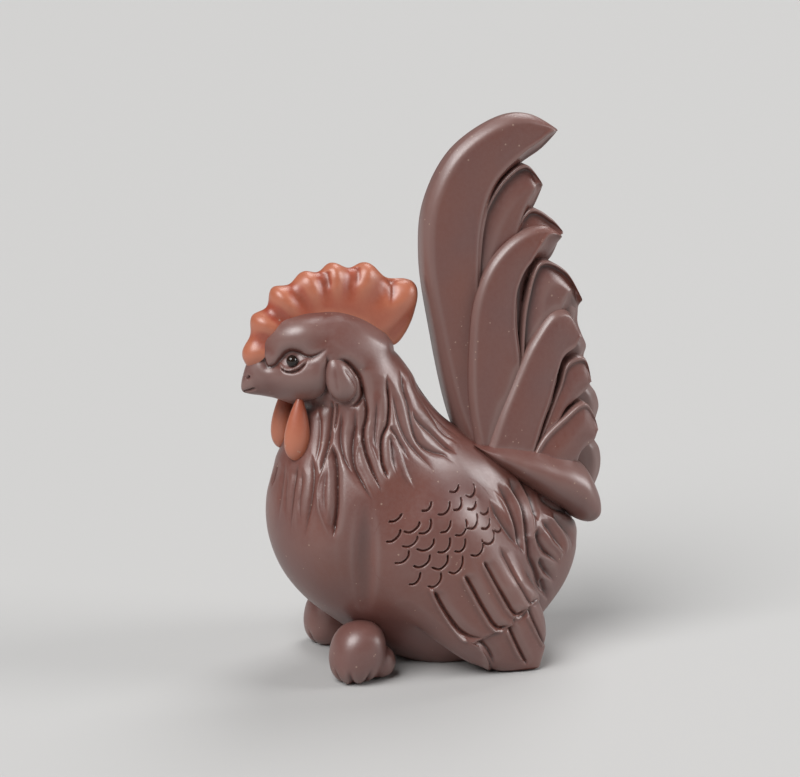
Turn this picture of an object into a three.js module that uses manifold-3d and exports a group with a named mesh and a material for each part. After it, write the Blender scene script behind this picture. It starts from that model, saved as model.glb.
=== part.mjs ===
// A clay rooster tea pet, built by hand from purple and red stoneware. Millimetres, +Z up.
// The rooster faces -Y and its left side is +X. It stands on z = 0 on its flat belly, its
// two feet and its two wing tips. The hollow body is pressed in two halves that meet at
// x = 0, and every other piece is shaped by itself and set in its place with slip.
import * as THREE from "three";
import { mergeVertices } from "three/addons/utils/BufferGeometryUtils.js";
import Module from "manifold-3d";

const wasm = await Module();
wasm.setup();

// Clearances, walls and the vent
const THIN = 0.1; // least half size of a form's section
const JOINT_GAP = 0.3; // slip joint between two pieces of clay
const WALL = 3; // thickness of the pressed shell
const NECK_HOLLOW_TOP = 41; // the hollow ends in the neck, and the head is solid
const VENT_DIAMETER = 5; // hole in the belly that lets the hollow breathe in the kiln
const VENT_Y = 6;

// Body, from breast to rump and from the floor to the top of the neck
const BODY_LENGTH = 50;
const BODY_HEIGHT = 50;
const BODY_WIDTH = 28;

// Head, from the beak's tip to the nape
const HEAD_LENGTH = 24;
const HEAD_HEIGHT = 16;
const HEAD_WIDTH = 14.5;

// Comb, wattles, ear lobes and eyes
const COMB_STANDOFF = 6; // from the head's crown to the comb's mean edge
const COMB_THICKNESS = 5.2;
const COMB_RIB = 0.35; // how far a lobe's rib stands out from the comb's side
const COMB_END = 0.45; // share of the comb's thickness that is left at its two ends
const WATTLE_LENGTH = 9;
const WATTLE_WIDTH = 4.5;
const WATTLE_THICKNESS = 3.8;
const WATTLE_SPACING = 7.3;
const WATTLE_TILT = 4; // degrees
const WATTLE_TAPER = 0.55; // share of its width that a wattle loses towards its top
const LOBE_LENGTH = 6.8;
const LOBE_WIDTH = 4.8;
const LOBE_THICKNESS = 3.4;
const LOBE_TILT = 20; // degrees
const LOBE_TAPER = 0.35;
const EYE_DIAMETER = 2;

// Feet
const FOOT_SPACING = 18.8;
const FOOT_WIDTH = 8.8;
const FOOT_LENGTH = 9;
const FOOT_HEIGHT = 9.6;
const FOOT_SINK = 0.4; // clay pressed flat where a foot stands
const FOOT_STAGGER = 1.4; // the left foot stands this far ahead of the right one
const HEEL_SHARE = 0.62; // size of the heel beside the foot's
const HEEL_REACH = 4.1; // from the middle of the foot back to the heel's
const TOE_GROOVE = 0.5; // radius
const TOE_SPACING = 1.8;
const TOE_SLANT = 50; // degrees that the grooves between the toes lean back

// Wings
const WING_LENGTH = 30;
const WING_DROP = 30;
const WING_THICKNESS = 7.5; // before its inner side is fitted to the body
const WING_STANDOFF = 2.2; // how far the wing's face stands out past the body's side
const TIER_STEP = 0.9; // the lower tier of feathers lies this much deeper

// V-shaped grooves of the plumage, cut this deep and wide where they are strongest
const LOCK_DEPTH = 1;
const LOCK_WIDTH = 2;
const QUILL_DEPTH = 0.6;
const QUILL_WIDTH = 1.6;

// Tail, with the half thickness of its core and of the sickles at the middle
const TAIL_LENGTH = 30;
const TAIL_HEIGHT = 52;
const CORE_HALF = 1.6;
const FAN_HALF = 8.6; // from the middle plane to the outer face of the lowest side feather
const SICKLE_HALF = 3.1;

// Mesh density
const RING_POINTS = 28;
const BODY_RINGS = 22;
const HEAD_RINGS = 14;
const HOLLOW_POINTS = 16;
const HOLLOW_RINGS = 12;
const COMB_RINGS = 46;
const WING_POINTS = 16;
const FEATHER_RINGS = 12;
const FEATHER_POINTS = 3; // from a feather's middle line to its edge
const FEATHER_ROUNDING = 0.35; // share of its thickness that a feather loses at its edge
const FEATHER_TIP = 0.985; // share of its edges at which a feather's blunt tip lies
const GROOVE_RINGS = 4;

// Every point is [y, z] in hundredths of a length and a height, counted from an origin.
// The head, wing and tail start at points of the body, and the small pieces sit at points of
// the head, apart from the feet.
const HEAD_PLACE_SHARES = [-34, 94];
const WING_PLACE_SHARES = [-26, 40];
const TAIL_PLACE_SHARES = [16, 62];
const FEET_PLACE_SHARES = [-25.5, 0];
const COMB_PLACE_SHARES = [10.5, 3];
const EYE_PLACE_SHARES = [-21.5, 10.5];
const LOBE_PLACE_SHARES = [12, -27.5];
const WATTLE_PLACE_SHARES = [-18, -86];

// A station gives a point of the front edge and one of the back edge, and the width there in
// hundredths. lean puts the widest place ahead of the middle.
const BODY_STATIONS = [
  { front: [-33, 99], back: [-17, 100.5], width: 30, lean: 0 },
  { front: [-37.5, 91], back: [-11, 97], width: 50, lean: -10 },
  { front: [-39, 82], back: [-6, 91], width: 56, lean: -20 },
  { front: [-43, 72], back: [-1, 82.5], width: 66, lean: -20 },
  { front: [-47, 62], back: [5, 75], width: 80, lean: -5 },
  { front: [-49, 52], back: [14, 68], width: 92, lean: 8 },
  { front: [-48.5, 41], back: [24, 60.5], width: 100, lean: 12 },
  { front: [-45, 31], back: [34, 53], width: 100, lean: 12 },
  { front: [-38, 21.5], back: [43.5, 45.5], width: 97, lean: 12 },
  { front: [-28, 13], back: [48.5, 37.5], width: 90, lean: 10 },
  { front: [-16, 4], back: [48.5, 30], width: 80, lean: 10 },
  { front: [0, -3], back: [46, 23], width: 66, lean: 10 },
  { front: [16, -3], back: [39.5, 16], width: 46, lean: 10 },
  { front: [27, 2.5], back: [34, 10], width: 20, lean: 0 },
];

// The head's front edge is its crown and its back edge is its chin.
const HEAD_STATIONS = [
  { front: [-48.5, -19.5], back: [-47, -23.5], width: 6, lean: 0 },
  { front: [-47, -9], back: [-43.5, -25], width: 17, lean: 0 },
  { front: [-44, 4], back: [-35, -27.5], width: 30, lean: 0 },
  { front: [-38.5, 20], back: [-26.5, -31], width: 46, lean: 0 },
  { front: [-29, 37.5], back: [-16.5, -37.5], width: 68, lean: 0 },
  { front: [-14, 51], back: [-6, -44.5], width: 90, lean: 0 },
  { front: [7, 54], back: [6.5, -46], width: 100, lean: 0 },
  { front: [26, 45], back: [21, -36], width: 96, lean: 0 },
  { front: [41.5, 29], back: [33.5, -21], width: 80, lean: 0 },
  { front: [49, 15], back: [41.5, -6], width: 40, lean: 0 },
];

// The comb fans out round its centre. Its lobes and the valleys between them are angles in
// degrees from +Y and reaches in hundredths of the mean one.
const COMB_OUTLINE = [
  [188, 86],
  [174, 99],
  [161, 94],
  [150, 101],
  [140, 92],
  [129, 103],
  [119.5, 94],
  [108, 100],
  [99, 94],
  [90, 103],
  [79, 97],
  [69, 108],
  [54.5, 102],
  [40, 118],
  [26, 101],
  [8, 72],
];

// Side view of half of the comb's section, as hundredths of its reach and half thickness.
const COMB_SECTION = [
  [35, 95],
  [58, 100],
  [79, 92],
  [91.5, 72],
  [98, 40],
  [100, 0],
];

// A wing station also says how far the face is tucked in from the wing's widest place, in
// hundredths of its thickness.
const WING_STATIONS = [
  { front: [0, -6], back: [1, 7], tuck: 48 },
  { front: [6, -17], back: [8, 20], tuck: 21 },
  { front: [16, -30], back: [23, 29], tuck: 8 },
  { front: [27, -40], back: [38, 35], tuck: 3 },
  { front: [39, -50], back: [56, 27], tuck: 0 },
  { front: [51, -59], back: [75, -4], tuck: 3 },
  { front: [61, -64], back: [89, -26], tuck: 11 },
  { front: [70, -69], back: [95, -40], tuck: 19 },
  { front: [80, -71], back: [96, -53], tuck: 27 },
  { front: [87, -70], back: [93, -62], tuck: 32 },
];
const COVERTS_END = 7; // stations in the upper tier, which ends above the wing's tip
const PRIMARIES_START = 3; // first station of the lower tier, hidden under the upper one

// Grooves between the locks of the neck and of the saddle, drawn on the body's side. depth is
// in hundredths of the deepest one's.
const LOCK_GROOVES = [
  { depth: 60, line: [[-42, 67], [-44, 62], [-45, 56], [-46, 46]] },
  { depth: 65, line: [[-39, 70], [-40, 64], [-41, 58], [-43, 45]] },
  { depth: 80, line: [[-33, 85], [-33, 79], [-35, 73], [-37, 68], [-38, 62]] },
  { depth: 100, line: [[-34, 72], [-34, 67], [-34, 60], [-35, 53], [-36, 46]] },
  { depth: 80, line: [[-26, 84], [-27, 77], [-29, 70], [-27, 63], [-24, 57]] },
  { depth: 90, line: [[-25, 91], [-23, 83], [-25, 75], [-24, 66], [-22, 59]] },
  { depth: 90, line: [[-17, 92], [-16, 85], [-18, 78], [-20, 70], [-19, 63]] },
  { depth: 60, line: [[-16, 88], [-14, 82], [-13, 75], [-9, 69], [-4, 63]] },
  { depth: 75, line: [[-12, 92], [-10, 85], [-9, 77], [-5, 70], [4, 64]] },
  { depth: 80, line: [[-8, 83], [-5, 79], [-1, 75], [3, 71], [7, 67]] },
  { depth: 85, line: [[17, 56], [21, 49], [23, 40], [26, 32]] },
  { depth: 100, line: [[20, 57], [25, 51], [27, 44], [30, 36], [37, 28]] },
  { depth: 90, line: [[25, 57], [29, 52], [31, 46], [32, 39], [38, 33]] },
  { depth: 90, line: [[30, 46], [33, 43], [37, 40], [39, 37], [40, 33]] },
];

// Grooves between the long feathers of the wing's two tiers, drawn on the wing's face.
const COVERT_GROOVES = [
  { depth: 80, line: [[31, -17], [40, -33], [50, -42], [57, -51]] },
  { depth: 100, line: [[46, -10], [52, -19], [57, -28], [61, -36]] },
  { depth: 100, line: [[57, -3], [62, -12], [67, -22], [71, -29]] },
  { depth: 90, line: [[65, 3], [70, -6], [75, -16], [79, -23]] },
];
const PRIMARY_GROOVES = [
  { depth: 80, line: [[72, -42], [76, -50], [80, -57], [83, -64]] },
  { depth: 80, line: [[83, -35], [87, -41], [90, -47], [92, -51]] },
];

// A central feather gives its half thickness at root and tip in hundredths of SICKLE_HALF.
const CENTRAL_FEATHERS = [
  {
    name: "main_sickle",
    thick: [115, 55],
    front: [[-5, 0], [-14, 14], [-23, 37], [-29, 59], [-27, 75], [-13, 90], [13, 99], [28, 99], [43, 94]],
    back: [[17, 0], [7, 17], [1, 37], [0, 56], [3, 70], [10, 79], [23, 85], [34, 89], [43, 94]],
  },
  {
    name: "second_sickle",
    thick: [72, 50],
    front: [[0, 17], [-6, 40], [-4, 60], [3, 73], [14, 82], [24, 85], [35, 78]],
    back: [[18, 17], [14, 33], [15, 46], [19, 58], [25, 67], [31, 73], [35, 78]],
  },
  {
    name: "third_sickle",
    thick: [60, 42],
    front: [[13, 17], [12, 40], [15, 60], [27, 72], [38, 69], [46, 64]],
    back: [[27, 17], [24, 37], [25, 50], [33, 58], [41, 60], [46, 64]],
  },
];

// The side feathers are here in the order in which they are laid on. face is the distance
// of the outer face from the middle plane at root and tip, in hundredths of FAN_HALF.
const SIDE_FEATHERS = [
  {
    name: "base_feather",
    face: [100, 72],
    front: [[-5, 3], [13, 3], [31, 1], [49, -2], [59, -8], [61, -14]],
    back: [[5, -1], [19, -7], [30, -11], [41, -16], [51, -21], [61, -14]],
  },
  {
    name: "lower_feather",
    face: [79, 51],
    front: [[21, -2], [30, 6], [41, 11], [53, 15], [58, 12], [62, 6]],
    back: [[37, -7], [43, -4], [48, -3], [53, -1], [59, 1], [62, 6]],
  },
  {
    name: "middle_feather",
    face: [74, 44],
    front: [[-1, 0], [7, 13], [15, 23], [25, 34], [37, 42], [45, 42], [54, 33]],
    back: [[25, 0], [30, 9], [35, 16], [39, 23], [43, 28], [50, 29], [54, 33]],
  },
  {
    name: "rear_feather",
    face: [65, 42],
    front: [[28, 4], [34, 12], [40, 20], [45, 27], [54, 28], [59, 20]],
    back: [[37, 4], [40, 10], [45, 14], [51, 15], [56, 17], [59, 20]],
  },
  {
    name: "upper_feather",
    face: [60, 33],
    front: [[-3, 2], [-7, 17], [-7, 33], [-4, 47], [5, 58], [19, 65], [34, 67], [45, 63]],
    back: [[22, 2], [23, 17], [20, 29], [18, 40], [20, 50], [27, 55], [38, 56], [45, 63]],
  },
  {
    name: "inner_feather",
    face: [49, 30],
    front: [[20, 13], [20, 29], [23, 46], [31, 57], [44, 54], [56, 43]],
    back: [[38, 13], [37, 25], [38, 35], [44, 40], [52, 38], [56, 43]],
  },
];

// The core's rear edge shows as small lobes behind the side feathers.
const CORE_FRONT = [[30, 42], [17, 29], [7, 17], [-3, 6], [-3, -4], [7, -13], [30, -22]];
const CORE_REAR = [[42, 45], [54, 40], [59, 29], [65, 14], [67, 0], [67, -10], [63, -19], [53, -22]];

const PURPLE_CLAY = new THREE.MeshStandardMaterial({ color: 0x5a3a35, roughness: 0.5, metalness: 0 });
const RED_CLAY = new THREE.MeshStandardMaterial({ color: 0x9c4a2e, roughness: 0.5, metalness: 0 });
const BLACK_GLAZE = new THREE.MeshStandardMaterial({ color: 0x100c0a, roughness: 0.08, metalness: 0 });

// Frames of the outlines: where each is counted from, and its length and height.
const BODY = { y: 0, z: 0, length: BODY_LENGTH, height: BODY_HEIGHT };
const HEAD = { ...pointIn(BODY, HEAD_PLACE_SHARES), length: HEAD_LENGTH, height: HEAD_HEIGHT };
const WING = { ...pointIn(BODY, WING_PLACE_SHARES), length: WING_LENGTH, height: WING_DROP };
const TAIL = { ...pointIn(BODY, TAIL_PLACE_SHARES), length: TAIL_LENGTH, height: TAIL_HEIGHT };

const SPAN = 4 * (BODY_LENGTH + TAIL_HEIGHT); // a cutting block, far longer than the object

function pointIn(frame, [y, z]) {
  const across = frame.y + (frame.length * y) / 100;
  const up = frame.z + (frame.height * z) / 100;
  return new THREE.Vector3(0, across, up);
}

function railIn(frame, points) {
  return new THREE.CatmullRomCurve3(points.map((point) => pointIn(frame, point)));
}

// Smooth value of a list of numbers at a share s of its length.
function along(values, s) {
  const curve = new THREE.CatmullRomCurve3(values.map((value, i) => new THREE.Vector3(value, i, 0)));
  return curve.getPoint(s).x;
}

function middleOf(ring) {
  return ring.reduce((sum, point) => sum.add(point), new THREE.Vector3()).divideScalar(ring.length);
}

// Closed skin over rings of equal length; each end is closed by a fan to its middle.
function skin(rings) {
  const around = rings[0].length;
  const last = (rings.length - 1) * around;
  const points = [...rings.flat(), middleOf(rings[0]), middleOf(rings.at(-1))];
  const startMiddle = points.length - 2;
  const endMiddle = points.length - 1;
  const faces = [];
  for (let j = 0; j < around; j++) {
    const next = (j + 1) % around;
    faces.push(startMiddle, next, j);
    faces.push(endMiddle, last + j, last + next);
    for (let row = 0; row < last; row += around) {
      faces.push(row + j, row + next, row + around + j);
      faces.push(row + next, row + around + next, row + around + j);
    }
  }
  return new THREE.BufferGeometry().setFromPoints(points).setIndex(faces);
}

// A solid for joining and cutting. A skin that came out inside out is turned round.
function solidOf(geometry) {
  const bare = geometry.clone();
  bare.deleteAttribute("normal");
  bare.deleteAttribute("uv");
  const merged = mergeVertices(bare, 1e-4);
  const vertProperties = merged.attributes.position.array;
  const triVerts = new Uint32Array(merged.index.array);
  const made = new wasm.Manifold(new wasm.Mesh({ numProp: 3, vertProperties, triVerts }));
  if (made.volume() > 0) return made;
  for (let i = 0; i < triVerts.length; i += 3) {
    [triVerts[i + 1], triVerts[i + 2]] = [triVerts[i + 2], triVerts[i + 1]];
  }
  return new wasm.Manifold(new wasm.Mesh({ numProp: 3, vertProperties, triVerts }));
}

// The largest body of a solid, without the crumbs that a cut can leave.
function geometryOf(solid) {
  const [main] = solid.decompose().sort((a, b) => b.volume() - a.volume());
  const { vertProperties, triVerts } = main.getMesh();
  const geometry = new THREE.BufferGeometry();
  geometry.setAttribute("position", new THREE.BufferAttribute(vertProperties, 3));
  geometry.setIndex(new THREE.BufferAttribute(triVerts, 1));
  geometry.computeVertexNormals();
  return geometry;
}

function block(x, y, z) {
  return solidOf(new THREE.BoxGeometry(SPAN, SPAN, SPAN).translate(x, y, z));
}

// Halfway points and directions between a front and a back edge, at count + 1 places.
function crossings(frame, front, back, count, end = 1) {
  const frontRail = railIn(frame, front);
  const backRail = railIn(frame, back);
  return Array.from({ length: count + 1 }, (_, i) => {
    const s = (end * i) / count;
    const a = frontRail.getPoint(s);
    const b = backRail.getPoint(s);
    const chord = b.clone().sub(a);
    return { s, half: chord.length() / 2, direction: chord.normalize(), centre: a.lerp(b, 0.5) };
  });
}

// A round form through stations. grow moves its whole surface outwards.
function roundForm(frame, stations, fullWidth, rings, points, grow) {
  const fronts = stations.map((station) => station.front);
  const backs = stations.map((station) => station.back);
  const widths = stations.map((station) => (station.width / 100) * (fullWidth / 2));
  const leans = stations.map((station) => station.lean / 100);
  const made = crossings(frame, fronts, backs, rings).map(({ s, half, direction, centre }) =>
    Array.from({ length: points }, (_, j) => {
      const turn = (2 * Math.PI * j) / points;
      const lean = 1 + along(leans, s) * Math.cos(turn);
      const point = centre.clone().addScaledVector(direction, -Math.max(THIN, half + grow) * Math.cos(turn));
      return point.setX(Math.max(THIN, along(widths, s) + grow) * Math.sin(turn) * lean);
    }),
  );
  pushEnd(made[0], made[1], grow);
  pushEnd(made.at(-1), made.at(-2), grow);
  return solidOf(skin(made));
}

function pushEnd(ring, inner, grow) {
  const outward = middleOf(ring).sub(middleOf(inner)).setLength(Math.abs(grow));
  ring.forEach((point) => point.addScaledVector(outward, Math.sign(grow)));
}

function trunkForm(grow, rings = BODY_RINGS, points = RING_POINTS) {
  return roundForm(BODY, BODY_STATIONS, BODY_WIDTH, rings, points, grow);
}

function bodyForm(grow) {
  const head = roundForm(HEAD, HEAD_STATIONS, HEAD_WIDTH, HEAD_RINGS, RING_POINTS, grow);
  return trunkForm(grow).add(head);
}

// Finds the point and the facet of a solid's left side, at a place in the side view.
function sideOf(solid) {
  const mesh = new THREE.Mesh(geometryOf(solid), new THREE.MeshBasicMaterial({ side: THREE.DoubleSide }));
  return (y, z) => {
    const ray = new THREE.Raycaster(new THREE.Vector3(SPAN, y, z), new THREE.Vector3(-1, 0, 0));
    return ray.intersectObject(mesh)[0];
  };
}

// A cutter for a V-shaped groove that runs along a line on a side and fades at its ends.
function groove(side, frame, { depth, line }, fullDepth, fullWidth) {
  const rail = railIn(frame, line);
  const rings = Array.from({ length: GROOVE_RINGS + 1 }, (_, i) => {
    const s = i / GROOVE_RINGS;
    const { y, z } = rail.getPoint(s);
    const { point, face } = side(y, z);
    const across = rail.getTangent(s).cross(face.normal).normalize();
    const size = (0.25 + 0.75 * Math.sin(Math.PI * s)) * (depth / 100);
    const lip = point.clone().addScaledVector(face.normal, fullDepth * size);
    return [
      lip.clone().addScaledVector(across, fullWidth * size),
      lip.clone().addScaledVector(across, -fullWidth * size),
      point.clone().addScaledVector(face.normal, -fullDepth * size),
    ];
  });
  return solidOf(skin(rings));
}

function cutGrooves(solid, side, frame, grooves, depth, width) {
  return grooves.reduce((left, line) => left.subtract(groove(side, frame, line, depth, width)), solid);
}

const clay = bodyForm(0);
const claySeat = bodyForm(JOINT_GAP);
const sideOfClay = sideOf(clay);
const belowFloor = block(0, 0, -SPAN / 2);

// Half of the pressed body, with its part of the hollow and of the vent.
function shellHalf() {
  const hollow = trunkForm(-WALL, HOLLOW_RINGS, HOLLOW_POINTS)
    .subtract(block(0, 0, NECK_HOLLOW_TOP + SPAN / 2))
    .subtract(block(0, 0, WALL - SPAN / 2));
  const vent = new THREE.CylinderGeometry(VENT_DIAMETER / 2, VENT_DIAMETER / 2, 4 * WALL, 20);
  vent.rotateX(Math.PI / 2);
  vent.translate(0, VENT_Y, 0);
  const otherHalf = block((JOINT_GAP - SPAN) / 2, 0, 0);
  const half = clay.subtract(hollow).subtract(solidOf(vent)).subtract(belowFloor).subtract(otherHalf);
  return cutGrooves(half, sideOfClay, BODY, LOCK_GROOVES, LOCK_DEPTH, LOCK_WIDTH);
}

function comb() {
  const centre = pointIn(HEAD, COMB_PLACE_SHARES);
  const crown = Math.max(...HEAD_STATIONS.map(({ front }) => front[1]));
  const meanReach = COMB_STANDOFF + (HEAD_HEIGHT * (crown - COMB_PLACE_SHARES[1])) / 100;
  const angles = COMB_OUTLINE.map(([angle]) => THREE.MathUtils.degToRad(angle));
  const reaches = COMB_OUTLINE.map(([, reach]) => (meanReach * reach) / 100);
  const ribs = COMB_OUTLINE.map((_, i) => (i % 2 ? COMB_RIB : -COMB_RIB));
  const left = COMB_SECTION.map(([reach, side]) => [reach / 100, side / 100]);
  const right = left.slice(0, -1).reverse().map(([reach, side]) => [reach, -side]);
  const rings = Array.from({ length: COMB_RINGS + 1 }, (_, i) => {
    const s = i / COMB_RINGS;
    const angle = along(angles, s);
    const out = new THREE.Vector3(0, Math.cos(angle), Math.sin(angle)).multiplyScalar(along(reaches, s));
    const endRound = Math.min(1, COMB_END + 6 * Math.min(s, 1 - s));
    const half = (COMB_THICKNESS / 2 + along(ribs, s)) * endRound;
    return [...left, ...right].map(([reach, side]) =>
      centre.clone().addScaledVector(out, reach).setX(side * half),
    );
  });
  return solidOf(skin(rings)).subtract(claySeat).subtract(centralFeather(CENTRAL_FEATHERS[0], JOINT_GAP));
}

// A drop of clay: a ball that narrows upwards, with its lowest point at the origin.
function drop(length, width, thickness, taper) {
  const ball = new THREE.SphereGeometry(0.5, 16, 12).rotateX(Math.PI / 2).translate(0, 0, 0.5);
  const position = ball.attributes.position;
  for (let i = 0; i < position.count; i++) {
    const up = position.getZ(i);
    const narrow = 1 - taper * up;
    const x = position.getX(i) * thickness * narrow;
    const y = position.getY(i) * width * narrow;
    position.setXYZ(i, x, y, up * length);
  }
  return ball;
}

function wattle() {
  const tip = pointIn(HEAD, WATTLE_PLACE_SHARES);
  const hang = drop(WATTLE_LENGTH, WATTLE_WIDTH, WATTLE_THICKNESS, WATTLE_TAPER);
  hang.rotateX(THREE.MathUtils.degToRad(-WATTLE_TILT));
  hang.translate(WATTLE_SPACING / 2, tip.y, tip.z);
  return solidOf(hang).subtract(claySeat);
}

function earLobe() {
  const tip = pointIn(HEAD, LOBE_PLACE_SHARES);
  const hang = drop(LOBE_LENGTH, LOBE_WIDTH, LOBE_THICKNESS, LOBE_TAPER);
  hang.rotateX(THREE.MathUtils.degToRad(LOBE_TILT));
  hang.translate(sideOfClay(tip.y, tip.z + LOBE_LENGTH / 2).point.x, tip.y, tip.z);
  return solidOf(hang).subtract(claySeat);
}

function eye() {
  const { y, z } = pointIn(HEAD, EYE_PLACE_SHARES);
  const bead = new THREE.SphereGeometry(EYE_DIAMETER / 2, 14, 10);
  bead.translate(sideOfClay(y, z).point.x, y, z);
  return solidOf(bead).subtract(claySeat);
}

function ball(width, length, height, x, y, z) {
  const made = new THREE.SphereGeometry(0.5, 14, 11).scale(width, length, height);
  return solidOf(made.translate(x, y, z));
}

// A foot is a round knob with a smaller heel that runs back under the belly, and three
// grooves that part its toes. The left foot stands ahead of the right one.
function foot(side) {
  const spot = pointIn(BODY, FEET_PLACE_SHARES);
  const x = FOOT_SPACING / 2;
  const y = spot.y - (side * FOOT_STAGGER) / 2;
  const z = FOOT_HEIGHT / 2 - FOOT_SINK;
  const knob = ball(FOOT_WIDTH, FOOT_LENGTH, FOOT_HEIGHT, x, y, z);
  const heelSize = [FOOT_WIDTH, FOOT_LENGTH, FOOT_HEIGHT].map((size) => size * HEEL_SHARE);
  const heel = ball(...heelSize, x, y + HEEL_REACH, heelSize[2] / 2);
  let made = knob.add(heel);
  for (const toe of [-1, 0, 1]) {
    const groove = new THREE.CylinderGeometry(TOE_GROOVE, TOE_GROOVE, FOOT_HEIGHT / 3, 8);
    groove.rotateX(THREE.MathUtils.degToRad(TOE_SLANT));
    const toeY = y - FOOT_LENGTH / 2 + TOE_GROOVE * (1 + Math.abs(toe));
    groove.translate(x + toe * TOE_SPACING, toeY, TOE_GROOVE);
    made = made.subtract(solidOf(groove));
  }
  return made.subtract(claySeat).subtract(belowFloor);
}

// A tier of the wing is a thick leaf of clay through some of the wing's stations. inset
// lowers its face.
function wingTier(first, end, inset, grow) {
  const used = WING_STATIONS.slice(first, end);
  const widest = BODY_WIDTH / 2 + WING_STANDOFF;
  const faces = used.map(({ tuck }) => widest - (WING_THICKNESS * tuck) / 100 - inset);
  const fronts = used.map(({ front }) => front);
  const backs = used.map(({ back }) => back);
  const half = WING_THICKNESS / 2;
  const rings = crossings(WING, fronts, backs, 3 * (used.length - 1)).map((crossing) =>
    Array.from({ length: WING_POINTS }, (_, j) => {
      const turn = (2 * Math.PI * j) / WING_POINTS;
      const across = -(crossing.half + grow) * Math.cos(turn);
      const bulge = Math.sign(Math.sin(turn)) * Math.abs(Math.sin(turn)) ** 0.7;
      const point = crossing.centre.clone().addScaledVector(crossing.direction, across);
      return point.setX(along(faces, crossing.s) - half + (half + grow) * bulge);
    }),
  );
  pushEnd(rings[0], rings[1], grow);
  pushEnd(rings.at(-1), rings.at(-2), grow);
  return solidOf(skin(rings));
}

// A tail feather between its two edges, and between an outer and an inner distance from the
// middle plane. Its outer side is rounded off towards the edges, and its inner one if both.
function featherForm({ front, back }, outerAt, innerAt, both, grow) {
  const steps = Array.from({ length: 2 * FEATHER_POINTS + 1 }, (_, j) => j / FEATHER_POINTS - 1);
  const rings = crossings(TAIL, front, back, FEATHER_RINGS, FEATHER_TIP).map((crossing) => {
    const middle = (outerAt(crossing.s) + innerAt(crossing.s)) / 2;
    const thick = (outerAt(crossing.s) - innerAt(crossing.s)) / 2 + grow;
    const pointAt = (t, x) =>
      crossing.centre.clone().addScaledVector(crossing.direction, (crossing.half + grow) * t).setX(x);
    const outer = steps.map((t) => pointAt(t, middle + thick * edgeRound(t)));
    const inner = steps.map((t) => pointAt(t, middle - thick * (both ? edgeRound(t) : 1)));
    return [...outer, ...inner.reverse()];
  });
  pushEnd(rings[0], rings[1], grow);
  pushEnd(rings.at(-1), rings.at(-2), grow);
  return solidOf(skin(rings));
}

// Share of a feather's thickness at t of its half width from its middle line.
function edgeRound(t) {
  return 1 - FEATHER_ROUNDING * t ** 4;
}

function centralFeather(feather, grow) {
  const [root, tip] = feather.thick;
  const face = (s) => (SICKLE_HALF * THREE.MathUtils.lerp(root, tip, s)) / 100;
  return featherForm(feather, face, (s) => -face(s), true, grow);
}

function sideFeather(feather, grow) {
  const [root, tip] = feather.face;
  const face = (s) => (FAN_HALF * THREE.MathUtils.lerp(root, tip, s)) / 100;
  return featherForm(feather, face, () => JOINT_GAP / 2, false, grow);
}

// A plate in the middle plane. Its outline is drawn in x and y, which become y and z.
function core(grow) {
  const flat = ({ y, z }) => new THREE.Vector2(y, z);
  const front = railIn(TAIL, CORE_FRONT).getPoints(14).map(flat);
  const rear = railIn(TAIL, CORE_REAR).getPoints(24).map(flat);
  const plate = new THREE.ExtrudeGeometry(new THREE.Shape([...front, ...rear.reverse()]), {
    depth: CORE_HALF,
    bevelThickness: CORE_HALF / 2 + grow,
    bevelSize: grow,
    bevelSegments: 1,
  });
  plate.translate(0, 0, -CORE_HALF / 2);
  const upright = new THREE.Matrix4().makeBasis(
    new THREE.Vector3(0, 1, 0),
    new THREE.Vector3(0, 0, 1),
    new THREE.Vector3(1, 0, 0),
  );
  return solidOf(plate.applyMatrix4(upright));
}

const rooster = new THREE.Group();

function add(name, solid, material, side = 1) {
  const mesh = new THREE.Mesh(geometryOf(solid), material);
  mesh.name = name;
  mesh.scale.x = side;
  rooster.add(mesh);
}

function addPair(name, solid, material) {
  add(`${name}_left`, solid, material);
  add(`${name}_right`, solid, material, -1);
}

function addWings() {
  const cutters = claySeat.add(belowFloor);
  const coverts = wingTier(0, COVERTS_END, 0, 0);
  const primaries = wingTier(PRIMARIES_START, WING_STATIONS.length, TIER_STEP, 0);
  const covertsSeat = wingTier(0, COVERTS_END, 0, JOINT_GAP);
  const ruled = (tier, grooves) => cutGrooves(tier, sideOf(tier), WING, grooves, QUILL_DEPTH, QUILL_WIDTH);
  addPair("wing_coverts", ruled(coverts.subtract(cutters), COVERT_GROOVES), PURPLE_CLAY);
  const lower = ruled(primaries.subtract(cutters), PRIMARY_GROOVES);
  addPair("wing_primaries", lower.subtract(covertsSeat), PURPLE_CLAY);
}

// The tail is laid up from the middle outwards, and each piece is fitted to those before it.
function addTail() {
  let laid = claySeat;
  for (const feather of CENTRAL_FEATHERS) {
    add(feather.name, centralFeather(feather, 0).subtract(laid), PURPLE_CLAY);
    laid = laid.add(centralFeather(feather, JOINT_GAP));
  }
  add("tail_core", core(0).subtract(laid), PURPLE_CLAY);
  laid = laid.add(core(JOINT_GAP));
  for (const feather of SIDE_FEATHERS) {
    addPair(feather.name, sideFeather(feather, 0).subtract(laid), PURPLE_CLAY);
    laid = laid.add(sideFeather(feather, JOINT_GAP));
  }
}

addPair("body_shell", shellHalf(), PURPLE_CLAY);
add("comb", comb(), RED_CLAY);
addPair("wattle", wattle(), RED_CLAY);
addPair("ear_lobe", earLobe(), PURPLE_CLAY);
addPair("eye", eye(), BLACK_GLAZE);
add("foot_left", foot(1), PURPLE_CLAY);
add("foot_right", foot(-1), PURPLE_CLAY, -1);
addWings();
addTail();

export default rooster;
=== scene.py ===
"""Dresses the packed clay rooster: carved and burnished clay, glazed eyes, floor, light, camera."""

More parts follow.
